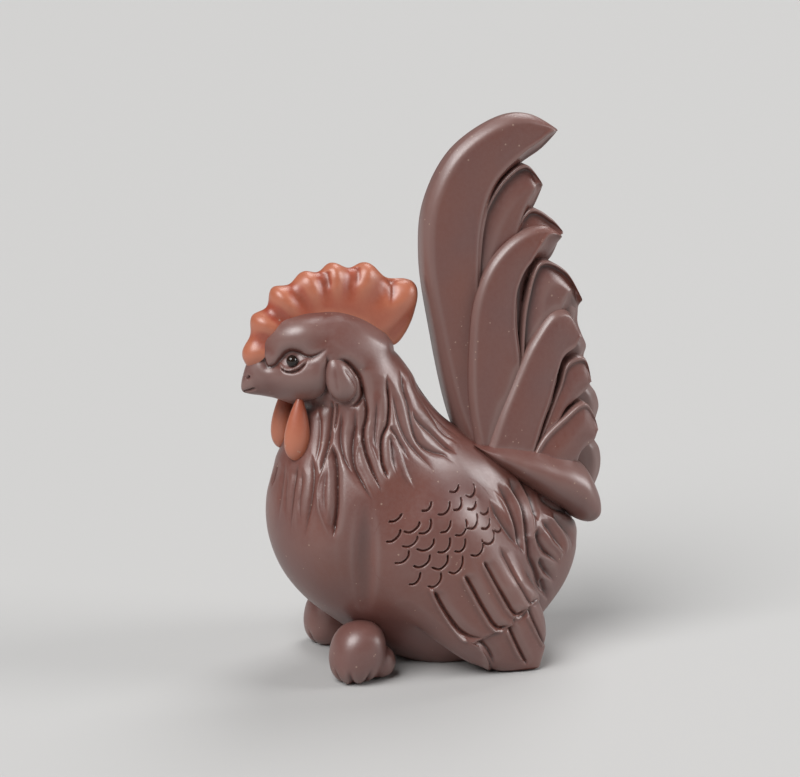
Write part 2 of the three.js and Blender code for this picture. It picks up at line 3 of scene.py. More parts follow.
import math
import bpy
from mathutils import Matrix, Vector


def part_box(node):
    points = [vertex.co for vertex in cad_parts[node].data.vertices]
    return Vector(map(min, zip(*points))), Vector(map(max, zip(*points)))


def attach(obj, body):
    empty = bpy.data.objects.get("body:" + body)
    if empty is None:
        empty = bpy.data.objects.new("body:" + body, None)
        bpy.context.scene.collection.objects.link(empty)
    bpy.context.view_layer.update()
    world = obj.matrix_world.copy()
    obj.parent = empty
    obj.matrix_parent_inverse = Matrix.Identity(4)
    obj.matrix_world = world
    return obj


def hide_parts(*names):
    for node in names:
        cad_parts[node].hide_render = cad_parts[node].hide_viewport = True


bl_info = {
    "name": "Clay Rooster Tea Pet",
    "version": (1, 0, 0),
    "blender": (4, 5, 0),
    "location": "View3D > Sidebar > Rooster",
    "description": "Carves and finishes the pieces of a small clay rooster",
    "category": "Object",
}

from contextlib import contextmanager

import bmesh
import bpy
import numpy as np
from bpy.props import FloatProperty, FloatVectorProperty, PointerProperty
from mathutils import Vector

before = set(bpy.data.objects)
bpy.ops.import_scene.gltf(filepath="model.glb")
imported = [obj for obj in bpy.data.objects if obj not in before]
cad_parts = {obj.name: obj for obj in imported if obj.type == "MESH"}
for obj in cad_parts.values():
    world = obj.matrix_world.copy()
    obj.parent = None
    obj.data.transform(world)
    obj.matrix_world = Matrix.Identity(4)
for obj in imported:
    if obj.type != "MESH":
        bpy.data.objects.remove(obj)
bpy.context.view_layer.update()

# Lengths are in millimetres all through, and are made metres where a mesh is written
MM = 0.001

# Body: its wall, the top of its hollow and the vent hole under its belly
WALL = 3.0
HOLLOW_TOP = 41.0
VENT_RADIUS = 2.5
VENT_Y = 6.0
# How deep under the body's skin the other pieces end, and how deep the seat of the wing is
SEAT_DEPTH = 0.3
WING_SEAT_DEPTH = 1.0
# Turn between two faces past which the edge between them shows as sharp
SHARP_TURN = math.radians(50)
# Grain of the clay in which forms are run together
BODY_GRAIN = 0.27
COMB_GRAIN = 0.3
FOOT_GRAIN = 0.2

# The camera of the view that the carving is drawn in
PHOTO_WIDTH, PHOTO_HEIGHT = 800, 777
AIM = np.array([0.0, -3.95, 42.0])
CAMERA_TURN = math.radians(18)
CAMERA_RISE = math.radians(14)
CAMERA_REACH = 430.0
PIXEL = 0.15  # millimetres per pixel at the aim
SENSOR_WIDTH = 36.0
BACK = np.array(
    [
        math.cos(CAMERA_TURN) * math.cos(CAMERA_RISE),
        -math.sin(CAMERA_TURN) * math.cos(CAMERA_RISE),
        math.sin(CAMERA_RISE),
    ]
)
RIGHT = np.array([math.sin(CAMERA_TURN), math.cos(CAMERA_TURN), 0.0])
UP = np.cross(BACK, RIGHT)
EYE_POINT = AIM + BACK * CAMERA_REACH
FOCUS = CAMERA_REACH / PIXEL

# Forms of the side view, in hundredths of a length and a height from an origin
BODY = {"y": 0.0, "z": 0.0, "length": 50.0, "height": 50.0, "width": 28.0}
HEAD = {"y": -17.0, "z": 47.0, "length": 24.0, "height": 16.0, "width": 14.5}
WING = {"y": -13.0, "z": 20.0, "length": 30.0, "height": 30.0, "face": 16.2, "thick": 7.5}
TAIL = {"y": 8.0, "z": 31.0, "length": 30.0, "height": 52.0, "sickle": 3.1, "fan": 8.6}

# Front y and z, back y and z, width and lean
BODY_STATIONS = [
    (-33, 99, -17, 100.5, 30, 0),
    (-37.5, 91, -11, 97, 50, -10),
    (-39, 82, -6, 91, 56, -20),
    (-43, 72, -1, 82.5, 66, -20),
    (-47, 62, 5, 75, 80, -5),
    (-49, 52, 14, 68, 92, 8),
    (-48.5, 41, 24, 60.5, 100, 12),
    (-45, 31, 34, 53, 100, 12),
    (-38, 21.5, 43.5, 45.5, 97, 12),
    (-28, 13, 48.5, 37.5, 90, 10),
    (-16, 4, 48.5, 30, 80, 10),
    (0, -3, 46, 23, 66, 10),
    (16, -3, 39.5, 16, 46, 10),
    (27, 2.5, 34, 10, 20, 0),
]
HEAD_STATIONS = [
    (-48.5, -19.5, -47, -23.5, 6, 0),
    (-47, -9, -43.5, -25, 17, 0),
    (-44, 4, -35, -27.5, 30, 0),
    (-38.5, 20, -26.5, -31, 46, 0),
    (-29, 37.5, -16.5, -37.5, 68, 0),
    (-14, 51, -6, -44.5, 90, 0),
    (7, 54, 6.5, -46, 100, 0),
    (26, 45, 21, -36, 96, 0),
    (41.5, 29, 33.5, -21, 80, 0),
    (49, 15, 41.5, -6, 40, 0),
]
# Front y and z, back y and z, and how far the face is tucked in, in millimetres
WING_STATIONS = [
    (0, -6, 1, 7, 3.6),
    (6, -17, 8, 20, 1.6),
    (16, -30, 23, 29, 0.6),
    (27, -40, 38, 35, 0.2),
    (39, -50, 56, 27, 0),
    (51, -59, 75, -4, 0.2),
    (61, -64, 89, -26, 0.8),
    (70, -69, 95, -40, 1.4),
    (80, -71, 96, -53, 2.0),
    (87, -70, 93, -62, 2.4),
]

# How flat the face of the wing is: 1 is a plain curve, and less is flatter
WING_FLATNESS = 0.7

# Cuts are drawn in the pixels of the camera's view: depth in millimetres, reach in pixels to the left
# and to the right of a cut that runs down, and the shares of its length over which it starts
# and ends. A negative depth raises a ridge.
# Locks of the neck, from the breast round to the back
HACKLES = [
    (0.30, 4, 4, 0.3, 0.5, [(276, 458), (273.5, 475), (272, 490)]),
    (0.35, 4, 4, 0.3, 0.5, [(286, 459), (282.8, 475), (280.3, 492), (279, 508), (278.5, 524)]),
    (0.28, 3.5, 3.5, 0.3, 0.5, [(287.6, 465), (286, 481), (284.9, 497), (286, 513), (288, 525)]),
    (0.55, 4, 4, 0.2, 0.5, [
        (299, 461), (297.9, 464), (295.1, 472.5), (293.7, 481), (291.9, 491.7), (290.8, 502.3),
        (290.3, 513), (290.8, 523.7), (292, 536),
    ]),
    (0.35, 4, 4, 0.2, 0.5, [
        (302, 466), (300.9, 481), (299.9, 491.7), (298.8, 502.3), (300.4, 518), (302, 530),
    ]),
    (0.60, 4.5, 4.5, 0.2, 0.4, [
        (311.5, 452), (312.1, 459.7), (312.7, 470.3), (312.7, 481), (311.6, 491.7), (310, 502.3),
        (308.4, 511), (306.8, 521.5), (305.7, 532.2), (305, 542),
    ]),
    (0.35, 3, 4, 0.2, 0.4, [
        (317, 408), (319.3, 420), (319.6, 432), (318.6, 444), (316.7, 455), (315.6, 462),
        (316.5, 472),
    ]),
    (0.75, 4.5, 2.5, 0.1, 0.3, [
        (331.5, 400), (331.3, 410), (330.3, 420.2), (329.7, 427.7), (328.5, 438.3), (326.5, 447.9),
        (324.4, 455.4), (322.3, 463.9), (320.7, 472.5), (319.3, 482),
    ]),
    (0.40, 2, 3, 0.1, 0.4, [
        (335.5, 402), (336.7, 410.6), (335.6, 420.2), (334.5, 427.7), (334, 436),
    ]),
    (1.00, 4, 3.2, 0.15, 0.15, [
        (332.2, 443), (332.9, 449), (335, 459.7), (336.3, 470.3), (336.7, 481), (336.7, 491.7),
        (336.7, 502.3), (335.9, 513), (334.5, 523.7), (334, 532.2), (332.9, 539),
    ]),
    (0.22, 3, 4, 0.4, 0.4, [(328.5, 462), (325.5, 475), (323.5, 490), (324, 505), (327, 520)]),
    (0.50, 3, 4, 0.2, 0.4, [
        (341, 406), (340.8, 420), (340, 432), (340, 441), (341.2, 449), (343.6, 457.5), (347.9, 466),
        (353.2, 474.6), (358.5, 482), (363.9, 488.5),
    ]),
    (0.80, 5, 4, 0.3, 0.35, [
        (355.5, 404), (355.3, 417), (354.8, 428), (353, 437), (352.1, 449), (352.7, 459.7),
        (355.3, 469.3), (360.7, 478.9), (366, 488.5), (371.3, 498), (374, 504),
    ]),
    (0.90, 3.5, 2.5, 0.15, 0.3, [
        (358, 378), (360.7, 385), (363.9, 395.7), (366.5, 406.3), (366.9, 411.7), (366, 420.2),
        (363.9, 427.7), (363.3, 436.2), (364.4, 444.7), (366.5, 453.3), (369.7, 461.8),
        (372.9, 470.3), (376.7, 478.9), (379.9, 487.4), (382, 498),
    ]),
    (0.25, 2, 2, 0.3, 0.4, [(371, 440), (373.5, 447), (376.7, 455.4), (379.9, 466)]),
    (0.45, 4, 4, 0.3, 0.4, [
        (377, 395), (376.7, 410.6), (375.6, 427.7), (375.1, 438.3), (376.7, 449), (378.8, 458.6),
        (380.4, 468),
    ]),
    (0.90, 3, 3, 0.2, 0.1, [
        (386.5, 372), (388.4, 385), (390, 395.7), (390.2, 406.3), (389.4, 417), (388, 425),
        (385.2, 430), (382.5, 436.2), (381.5, 444.7), (382, 454.3), (383.1, 462.9), (386.3, 472.5),
        (389, 481),
    ]),
    (0.40, 3, 4, 0.2, 0.4, [
        (390.5, 431), (391.6, 436.2), (392.7, 449), (393.7, 459.7), (395.9, 470.3), (398, 478),
    ]),
    (0.50, 2, 4, 0.1, 0.5, [
        (390.4, 424), (391.5, 428), (395.5, 433.2), (400.1, 441.6), (403.9, 448.1), (406.7, 454.7),
        (410.4, 462),
    ]),
    (0.55, 4, 4, 0.2, 0.4, [
        (391, 385), (394.5, 398.7), (397.3, 410.8), (400.1, 422), (403.9, 432.3), (408.5, 440.7),
        (415.1, 449.1), (423.5, 459.3), (430, 466.8), (434.7, 473.3),
    ]),
    (0.70, 3.5, 3, 0.15, 0.35, [
        (399, 368), (403.9, 380), (405.7, 389.3), (408.5, 398.7), (410.9, 408), (412.3, 417.3),
        (414.1, 426.7), (416, 434.1), (419.7, 441.6), (425.3, 447.2), (434.7, 451.9), (444, 454.7),
        (449.6, 459.3), (457.1, 464),
    ]),
    (0.80, 3, 3.5, 0.3, 0.2, [
        (412, 402), (413.2, 408), (416.9, 416.4), (421.6, 422), (427.2, 426.7), (433.7, 432.3),
        (440.3, 438.8), (445.9, 444.4), (451.5, 449.1), (457.1, 454.7),
    ]),
    (0.50, 3, 3, 0.2, 0.3, [
        (408, 372), (414.1, 381.9), (419.7, 392.1), (425.3, 402.4), (430.9, 411.7), (436.5, 420.1),
        (441.2, 428.5), (446.8, 435.1), (453.3, 439.7), (458.9, 444.4),
    ]),
    (0.35, 2.5, 2.5, 0.2, 0.3, [
        (413, 375), (421.6, 392.1), (429.1, 405.2), (437.5, 417.3), (446.8, 426.7), (455.2, 434.1),
        (462.7, 440.7),
    ]),
    (-0.18, 1.8, 1.8, 0.1, 0.3, [
        (333, 441.5), (329.2, 451), (326.5, 457.5), (323.3, 467.1), (320.7, 475.7), (318.5, 483),
        (316.9, 491.7), (317.5, 500), (318.5, 507.7), (321.2, 516.2), (324.4, 524.7), (328.1, 533.3),
        (331.9, 539.7),
    ]),
    (-0.20, 2, 2, 0.1, 0.3, [
        (361.2, 432), (359.1, 442.6), (356.6, 451.1), (355.9, 459.7), (357.5, 468.2), (361.7, 476.7),
        (366, 485.3), (371.3, 494.9), (375.6, 503.4),
    ]),
    (-0.22, 2, 2, 0.1, 0.3, [
        (389.5, 428.7), (392.7, 438.3), (396.9, 446.9), (399.6, 454.3), (402.3, 463.9),
        (405.5, 473.5), (408.7, 479.9), (412.9, 487.4), (416, 492),
    ]),
]
# Locks of the saddle, between the wing and the tail
SADDLE = [
    (0.75, 4, 3, 0.3, 0.3, [(489, 498), (496, 509), (506, 525), (516.5, 541.5), (521, 552)]),
    (0.80, 3.5, 3, 0.25, 0.25, [
        (496, 482.5), (507.5, 497), (513, 510), (519, 531.6), (521, 544.7), (525, 556),
    ]),
    (0.85, 3.5, 3, 0.2, 0.25, [
        (505, 478.5), (515.6, 489), (524, 504), (527, 518.5), (528.7, 531.6), (527.5, 553),
    ]),
    (0.70, 3, 3, 0.2, 0.2, [(513, 472), (522, 481), (530, 494), (534.5, 508.7), (538.6, 521.8)]),
    (0.85, 3.5, 3, 0.15, 0.15, [
        (528.7, 531.6), (530.4, 544.7), (532, 558), (537, 571), (540, 582), (544, 596),
    ]),
    (0.85, 4, 3.5, 0.2, 0.45, [(539, 526), (540, 538), (546.7, 551), (556.6, 561), (560, 566)]),
    (0.75, 3.5, 3.5, 0.25, 0.45, [
        (541, 519), (550, 526.7), (556.6, 536.6), (561.5, 546.4), (563, 556),
    ]),
    (0.80, 3.5, 3.5, 0.25, 0.3, [(537, 493), (548, 500.6), (558, 507), (569.7, 511.4), (576, 521.8)]),
    (0.75, 3.5, 4, 0.3, 0.45, [(551, 511), (561.5, 522), (569.7, 531), (573.6, 541.5), (570, 552)]),
    (0.80, 4, 5, 0.3, 0.45, [(539, 556), (544, 567), (551, 577), (555, 583)]),
    (0.75, 3.5, 4, 0.3, 0.45, [(541, 576), (543.5, 584), (546.7, 594), (548, 602)]),
    (-0.20, 2.5, 2.5, 0.3, 0.3, [(492.5, 489), (502, 502), (509.5, 517), (518, 537)]),
    (-0.20, 2.5, 2.5, 0.3, 0.3, [(501, 481), (512, 494), (519.5, 508), (524, 530)]),
    (-0.20, 2.5, 2.5, 0.3, 0.3, [
        (510, 476), (520, 487), (529, 502), (533, 518), (535, 540), (542, 560),
    ]),
    (-0.22, 2.5, 2.5, 0.3, 0.2, [(541, 512), (552, 519), (560, 529), (566, 543), (566, 556)]),
    (-0.22, 2.5, 2.5, 0.3, 0.2, [(545, 530), (552, 543), (560, 552), (561, 560)]),
]
# The long wing feathers. Each cut runs down beside a feather and round its tip.
QUILLS = [
    (0.62, 2.4, 4.2, 0.1, 0.35, [
        (433.5, 590), (438, 600), (443, 609), (449, 618.5), (456, 628), (462, 633.5), (470, 637.5),
        (479, 638.5), (489, 638),
    ]),
    (0.62, 2.4, 4.0, 0.1, 0.12, [
        (464, 574.5), (470, 584), (476, 595), (482, 606), (488, 616), (493.5, 624.5), (499, 629),
        (505, 628.3), (511, 624.5),
    ]),
    (0.62, 2.4, 4.0, 0.1, 0.12, [
        (483.5, 560), (490, 571), (496, 582), (502, 593), (508, 603.5), (512.5, 611), (518, 615.5),
        (523.5, 613.5), (529.5, 606.5),
    ]),
    (0.50, 2.4, 3.6, 0.15, 0.12, [
        (499.5, 545.5), (507, 558.8), (513, 570.8), (519, 581.6), (525, 592), (529.5, 600),
        (532.5, 603.5), (536.5, 601), (541.5, 595.5),
    ]),
    (0.50, 2.0, 3.4, 0.03, 0.15, [(510, 627), (515, 639), (520, 650), (525.5, 661), (529, 668)]),
    (0.45, 2.0, 3.0, 0.03, 0.15, [(530, 606), (535, 619), (540, 630), (545, 640), (550, 647)]),
    (0.35, 5.0, 1.6, 0.3, 0.1, [(512.5, 624), (516, 618.5), (522, 618), (527, 613), (531, 608)]),
    (-0.34, 2.0, 2.0, 0.05, 0.1, [
        (430, 588), (435, 599.5), (439.5, 608.5), (445, 617.5), (451.5, 627), (458, 635),
        (464, 640.5), (469, 642),
    ]),
    (-0.30, 1.9, 1.9, 0.1, 0.1, [
        (461.5, 574.5), (467.5, 587), (473, 597), (479, 608), (485, 618), (490.5, 627),
        (496.5, 631.8), (503, 632.3), (508, 630.5),
    ]),
    (-0.30, 1.9, 1.9, 0.1, 0.1, [
        (481, 561.5), (487.5, 574), (493.5, 585), (499.5, 596), (505.5, 606.5), (510.5, 614),
        (516, 618.8), (521.5, 619), (526, 616),
    ]),
    (-0.20, 2.2, 2.2, 0.1, 0.4, [(471, 642), (478, 646), (484, 653), (488.5, 663)]),
    (0.40, 2.0, 5.0, 0.2, 0.3, [(476, 641), (483, 645.5), (488.5, 652), (492.5, 661), (494, 668)]),
    (-0.24, 1.8, 1.8, 0.05, 0.1, [(508, 632), (513, 643), (518, 654), (524, 664)]),
    (-0.24, 1.8, 1.8, 0.05, 0.1, [(529, 617), (535, 628.5), (541, 640), (545, 648)]),
]
# Ends of the upper tier of feathers. The lower tier lies past this line, and a little deeper.
TIER_EDGE = [
    (469, 642.5), (480, 640), (490, 634), (497, 630), (505, 628.3), (511, 624.5), (513, 616),
    (518, 615.5), (523.5, 613.5), (529.5, 606.5), (532.5, 603.5), (536.5, 601), (541.5, 595.5),
]
TIPS = TIER_EDGE + [
    (600, 590), (600, 720), (489.5, 720), (489.5, 672), (488.5, 663), (484, 653), (478, 646),
]
TIER_STEP = 0.42
# Distance from the middle of the body over which the cuts of the wing begin
WING_START = (9.5, 11.0)
# Gouge cuts of the wing's scales, each from its lower left end to its upper right one
SCALES = [
    [(449, 491.5), (455, 491.5), (458.5, 487), (459, 484)],
    [(465, 495), (470, 496.2), (474, 492), (474.5, 486), (473, 483)],
    [(421, 511.2), (427, 510), (430.5, 506), (432, 501)],
    [(437, 514.5), (443, 514), (448, 509.5), (449.8, 504), (449.8, 501)],
    [(453, 510.2), (458, 509.2), (461, 505), (461.5, 500), (461, 496.5)],
    [(467, 509), (472, 509.2), (475.5, 505.5), (476.5, 501)],
    [(480, 512.5), (484, 514), (488, 511.5), (489, 507)],
    [(388.5, 522), (394, 521.5), (399, 518), (402.5, 513.5)],
    [(403.5, 531.5), (409, 532.5), (415, 529), (419, 524), (419.5, 521.5)],
    [(418, 533.5), (424, 533.2), (429, 529), (431, 523), (430.8, 518)],
    [(440, 533), (446, 531.5), (450, 526), (451.2, 520)],
    [(454.5, 535.5), (460, 535.2), (464.5, 531), (466.8, 524), (466, 519)],
    [(466.5, 528), (472, 528.2), (476, 524), (477.5, 518), (477, 513)],
    [(481, 528.5), (486, 528.5), (489.5, 524), (490, 518)],
    [(494, 530), (497.5, 531.8), (501, 530), (501.5, 527)],
    [(385.5, 542), (391, 541.5), (396.5, 537.5), (400, 532), (400.3, 529)],
    [(401.5, 546.2), (407, 546.8), (413, 544), (417, 539), (417.5, 535.5)],
    [(416, 549), (422, 550.5), (429, 548), (433.5, 543), (434.5, 538)],
    [(437, 552.5), (443, 552.2), (448, 548), (450, 542), (450.2, 537)],
    [(454, 551.5), (459, 551.8), (463.5, 548), (465.5, 542), (465.2, 538)],
    [(470, 555), (476, 555.5), (481, 551), (483, 545), (482, 539)],
    [(483, 542.5), (488, 543.5), (492.5, 540), (494, 534), (492.5, 529)],
    [(394, 563.5), (400, 563), (405, 560), (408.5, 555), (409.2, 550)],
    [(413, 566), (418, 567.2), (424, 565), (429, 560), (430.5, 554)],
    [(431, 567.5), (438, 569), (444, 565.5), (447.5, 560), (448, 554)],
    [(448, 572), (454, 573), (459.5, 568.5), (462.5, 562), (463, 555)],
    [(408.5, 585), (414, 584), (419, 579), (421, 572)],
    [(427, 586.5), (433, 587), (438, 583), (441, 577), (441, 572)],
]
# How much rounder the cuts are than the lines drawn above
SCALE_CURVE = 1.22
# How far a scale's cut slopes down on its inner and its outer side, and how unlike they are
SCALE_INNER_REACH = 0.30
SCALE_OUTER_REACH = 0.17
SCALE_UNEVENNESS = 0.15
SCALE_SEED = 3
SCALE_STEEPNESS = 1.2
SCALE_END_REACH = 0.35  # of the middle's
# How near in pixels to the lines and to the scales the clay is made finer, and made finest
LINE_REACH = 4.0
SCALE_REACH = 6.0
CLOSE_REACH = 3.5
# Distance from the middle past which a point lies on the wing
WING_SIDE = 8.0
# Brow, eyelids, nostril, beak and the edges of the cheek and the ear lobe
FACE = [
    (0.80, 7, 4, 0.12, 0.25, [
        (262.5, 350), (262.5, 360), (267, 367.5), (274, 366), (280, 359), (285, 353.5), (291, 351.2),
        (298, 352.6), (305, 356.4), (313, 356.8), (321, 352.5), (329, 346),
    ]),
    (0.42, 1.7, 1.7, 0.15, 0.2, [
        (278.5, 366.5), (284.5, 371), (292, 372), (299, 370), (304, 365.5), (309, 361),
    ]),
    (-0.34, 1.7, 1.7, 0.12, 0.2, [
        (277.5, 362.5), (280, 365.5), (284.5, 368.3), (290.5, 369), (297, 366.8), (302.5, 362.8),
        (308, 358.6),
    ]),
    (0.55, 1.8, 1.8, 0.05, 0.05, [(246.4, 378.8), (249.2, 375.4)]),
    (0.40, 1.6, 1.6, 0.1, 0.3, [(242, 392), (246, 391.4), (251, 390), (257, 387.8)]),
    (1.25, 5, 7, 0.25, 0.25, [
        (326, 352), (328.5, 364), (330, 378), (328.5, 390), (323, 400), (313, 404.8), (300, 405.5),
        (287, 404),
    ]),
    (0.90, 3, 5, 0.25, 0.2, [
        (334, 361), (342, 360.5), (350, 365), (357.5, 374), (362, 385), (362, 396), (356, 404),
        (348, 407),
    ]),
]
# Flutes on the comb and folds on the ear lobe
COMB_CUTS = [
    (0.55, 6, 8, 0.05, 0.5, [(390, 274), (392, 284), (392, 296), (389, 308)]),
    (0.30, 5, 5, 0.05, 0.5, [(357, 266), (358, 276), (357, 288)]),
    (0.30, 5, 5, 0.05, 0.5, [(326, 271), (328, 281), (330, 292)]),
]
LOBE_CUTS = [
    (0.12, 3, 4, 0.3, 0.3, [(334.5, 366), (335.5, 376), (337, 387), (339, 396)]),
    (0.25, 2.5, 2.5, 0.3, 0.3, [(343, 367), (349.5, 374), (354.5, 382), (357, 391)]),
]
# How each set of cuts is made: the share of the soft valley, and how much wider it is than the
# sharp groove in it
HACKLE_VALLEY = (0.42, 2.3)
SADDLE_VALLEY = (0.45, 1.9)
FACE_VALLEY = (0.3, 2.0)
QUILL_VALLEY = (0.3, 2.6)
LOOSE_VALLEY = (0.4, 2.4)
RIDGE_VALLEY = (0.5, 1.5)
SADDLE_DEPTH = 1.2  # of the neck's
# Sharp groove in the middle of a cut: how deep it is, how steep, how round at its bottom, and
# how wide at its ends
GROOVE_DEPTH = 1.2
GROOVE_STEEPNESS = 1.8
GROOVE_ROUNDNESS = 0.015
GROOVE_END_WIDTH = 0.45
# Soft swellings: centre and radii in pixels, slope in degrees, height in millimetres
SWELLINGS = [
    (296, 333, 42, 23, -10, 1.05),
    (290.5, 360, 15, 9, -6, -0.6),
    (300, 382, 34, 22, 4, 0.75),
    (365, 556, 15, 62, 0, -0.6),
    (318, 560, 40, 50, 0, 0.3),
    (502, 464, 48, 28, 24, 0.9),
]

# Where the clay of two forms runs together: half width in pixels and the line
BLENDS = [
    (34, 420, [
        (428, 634), (406, 616), (387, 594), (372, 566), (370, 540), (382, 518), (398, 505),
        (420, 493), (440, 483), (462, 479), (482, 488), (494, 504), (502, 522), (509, 542),
    ]),
    (16, 260, [(470, 664), (450, 651), (428, 634), (406, 616)]),
    (14, 120, [(345, 335), (365, 350), (385, 362), (400, 372)]),
    (16, 160, [(494, 504), (505, 522), (520, 545), (535, 575)]),
    (26, 320, [(450, 496), (468, 506), (483, 522), (494, 545), (503, 565)]),
]
# Outline in which the wing is let into the body, and the depths between which it is cut out
WING_OUTLINE = [
    (388, 588), (376, 575), (371, 560), (372, 540), (380, 522), (392, 509), (406, 500), (420, 493),
    (438, 484), (455, 477), (470, 478), (482, 486), (489, 494), (497, 507), (508, 523.5), (516.5, 539),
    (524, 553), (531, 566), (538, 580), (543, 592), (552, 600), (566, 620), (566, 700), (490, 700),
    (489.5, 672), (488.5, 663), (484, 653), (478, 646), (470, 641.5), (462, 636.5), (456, 630.5),
    (449, 621), (443, 611.5), (438, 602.5), (433, 592.5), (426, 590), (414, 592), (400, 592),
]
WING_CUT = (2.0, 22.0)
TIPS_CUT = (1.0, 24.0)

# Tail feathers, each with its half thickness or outer face from root to tip in hundredths of
# the tail's sickle or fan size, its front edge, its back edge, how it is modelled, and how much
# of its width the facet behind its crest takes, in hundredths from root to tip. It is modelled
# by the rounding of its front edge, the height of its rim, the depth of the dip behind that,
# the swelling of its face and the height of its crest, in millimetres, and by how round its
# facet is.
CENTRAL_FEATHERS = {
    "main_sickle": (
        (115, 55),
        [
            (-5, 0), (-14, 14), (-23, 37), (-29, 59), (-27, 75), (-13, 90), (13, 99), (28, 99),
            (43, 94),
        ],
        [(17, 0), (7, 17), (1, 37), (0, 56), (3, 70), (10, 79), (23, 85), (34, 89), (43, 94)],
        (1.5, 0, 0, 0.35, 0.1, 1),
        (6, 6, 6, 8, 10, 13, 21, 31, 70),
    ),
    "second_sickle": (
        (72, 50),
        [(0, 17), (-6, 40), (-4, 60), (3, 73), (14, 82), (24, 85), (35, 78)],
        [(18, 17), (14, 33), (15, 46), (19, 58), (25, 67), (31, 73), (35, 78)],
        (0.15, 0.12, 0.8, 0.15, 0.0, 1),
        (5, 5, 8, 12, 24, 36, 80),
    ),
    "third_sickle": (
        (60, 42),
        [(13, 17), (12, 40), (15, 60), (27, 72), (38, 69), (46, 64)],
        [(27, 17), (24, 37), (25, 50), (33, 58), (41, 60), (46, 64)],
        (0.15, 0.12, 0.6, 0.12, 0.0, 1),
        (10, 10, 10, 15, 22, 60),
    ),
}
# Roll of clay over the roots of the side feathers: its two borders and how far out it stands
CUSHION_TOP = [
    (-6, 5), (2, 5), (9, 5), (18, 4), (26, 3), (36, 1), (46, -1), (54, -4), (59, -9), (61, -13),
    (60, -18),
]
CUSHION_LOW = [
    (-6, 5), (2, 0), (11, -4), (19, -7.5), (26, -10.5), (33, -13.5), (40, -16), (46, -18.5),
    (51, -21), (56, -21.5), (60, -18),
]
CUSHION_FACES = (66, 88, 100, 104, 106, 104, 96, 78)
CUSHION_ROWS = 130
CUSHION_COLUMNS = 60
CUSHION_FLATNESS = 0.62
SIDE_FEATHERS = {
    "lower_feather": (
        (79, 51),
        [(21, -2), (30, 6), (41, 11), (53, 15), (58, 12), (62, 6)],
        [(37, -7), (43, -4), (48, -3), (53, -1), (59, 1), (62, 6)],
        (0.3, 0.08, 0.3, 0.45, 0.0, 1),
        (10, 10, 12, 16, 22, 60),
    ),
    "middle_feather": (
        (74, 44),
        [(-1, 0), (7, 13), (15, 23), (25, 34), (37, 42), (45, 42), (54, 33)],
        [(25, 0), (30, 9), (35, 16), (39, 23), (43, 28), (50, 29), (54, 33)],
        (0.9, 0, 0, 0.45, 0.12, 1),
        (7, 7, 7, 8, 10, 22, 70),
    ),
    "rear_feather": (
        (65, 42),
        [(28, 4), (34, 12), (40, 20), (45, 27), (54, 28), (59, 20)],
        [(37, 4), (40, 10), (45, 14), (51, 15), (56, 17), (59, 20)],
        (0.25, 0.1, 0.4, 0.4, 0.0, 1),
        (10, 10, 10, 12, 15, 50),
    ),
    "upper_feather": (
        (60, 33),
        [(-3, 2), (-7, 17), (-7, 33), (-4, 47), (5, 58), (19, 65), (34, 67), (45, 63)],
        [(22, 2), (23, 17), (20, 29), (18, 40), (20, 50), (27, 55), (38, 56), (45, 63)],
        (0.9, 0, 0, 0.4, 0.12, 1),
        (6, 6, 7, 8, 10, 22, 78, 96),
    ),
    "inner_feather": (
        (49, 30),
        [(20, 13), (20, 29), (23, 46), (31, 57), (44, 54), (56, 43)],
        [(38, 13), (37, 25), (38, 35), (44, 40), (52, 38), (56, 43)],
        (0.15, 0.12, 0.8, 0.15, 0.0, 1),
        (5, 5, 8, 16, 62, 90),
    ),
}
# Share of a feather's length at which it ends, before its edges meet
FEATHER_TIP = 0.985
# Points along a feather, and across its lip, its face and its facet
FEATHER_ROWS = 150
FEATHER_COLUMNS = (18, 20, 10)
FEATHER_LIP = 2.2  # widest that the lip gets
# Rim and dip behind a feather's front edge, and its crest: place and width
RIM = (0.3, 0.2)
DIP_START = (0.42, 0.95)
DIP_END = (0.9, 4.2)
CREST = (0.1, 0.3)
# Plate in the middle of the tail: half its thickness, its facet and its front edge
CORE_HALF = 1.6
CORE_FACET = 1.5
CORE_EDGE = 0.3
CORE_FRONT = [(30, 42), (17, 29), (7, 17), (-3, 6), (-3, -4), (7, -13), (30, -22)]
# Rear edge of the core in pixels, with the three lobes that show behind the side feathers
CORE_LOBES = [
    (556, 268), (570, 284), (578, 305), (578, 322), (582, 334), (586.5, 346), (584, 356), (587, 368),
    (589, 382), (596, 393), (599, 406), (596, 418), (594, 430), (594.5, 439), (599, 447), (601, 459),
    (599.5, 472), (595, 484), (590, 496), (580, 505), (566, 508),
]

# Feet: height, length and width of a foot and its heel, place of the feet to the side and ahead,
# how much further ahead the left one is than their middle, and how far they reach into the floor
# before they are flattened
FOOT_SIZE = (9.4, 8.2, 8.4)
HEEL_SIZE = (5.2, 4.8, 4.8)
FOOT_X = 9.2
FOOT_Y = -12.95
FOOT_STAGGER = 0.7
FOOT_SINK = 0.3
HEEL_BEHIND = 3.6
# How square a foot is (2 is a ball), and how far its top leans back for each millimetre up
FOOT_SQUARENESS = 2.4
FOOT_LEAN = 0.14
# Grooves between the toes: turn from straight ahead to the outer side in degrees, depth, half
# width and the heights between which they fade
TOE_TURNS = (-20, 22, 58, 104)
TOE_DEPTH = 0.5
TOE_HALF = 0.7
TOE_FADE = (0.8, 3.3)
TOE_STEEPNESS = 1.3

# Drops of clay: length, width and thickness, how much they narrow upwards, tilt in degrees and
# place of the low point
WATTLE = ((9.8, 5.2, 4.4), 0.62, -4, (3.65, -21.32, 33.24))
LOBE_SIZE = (7, 5.2, 4.6)
LOBE_TAPER = 0.35
LOBE_TILT = 20
LOBE_INSET = 1.9
LOBE_LOW = (-14.12, 42.5)
EYE_CENTRE = (5.05, -22.15, 48.75)

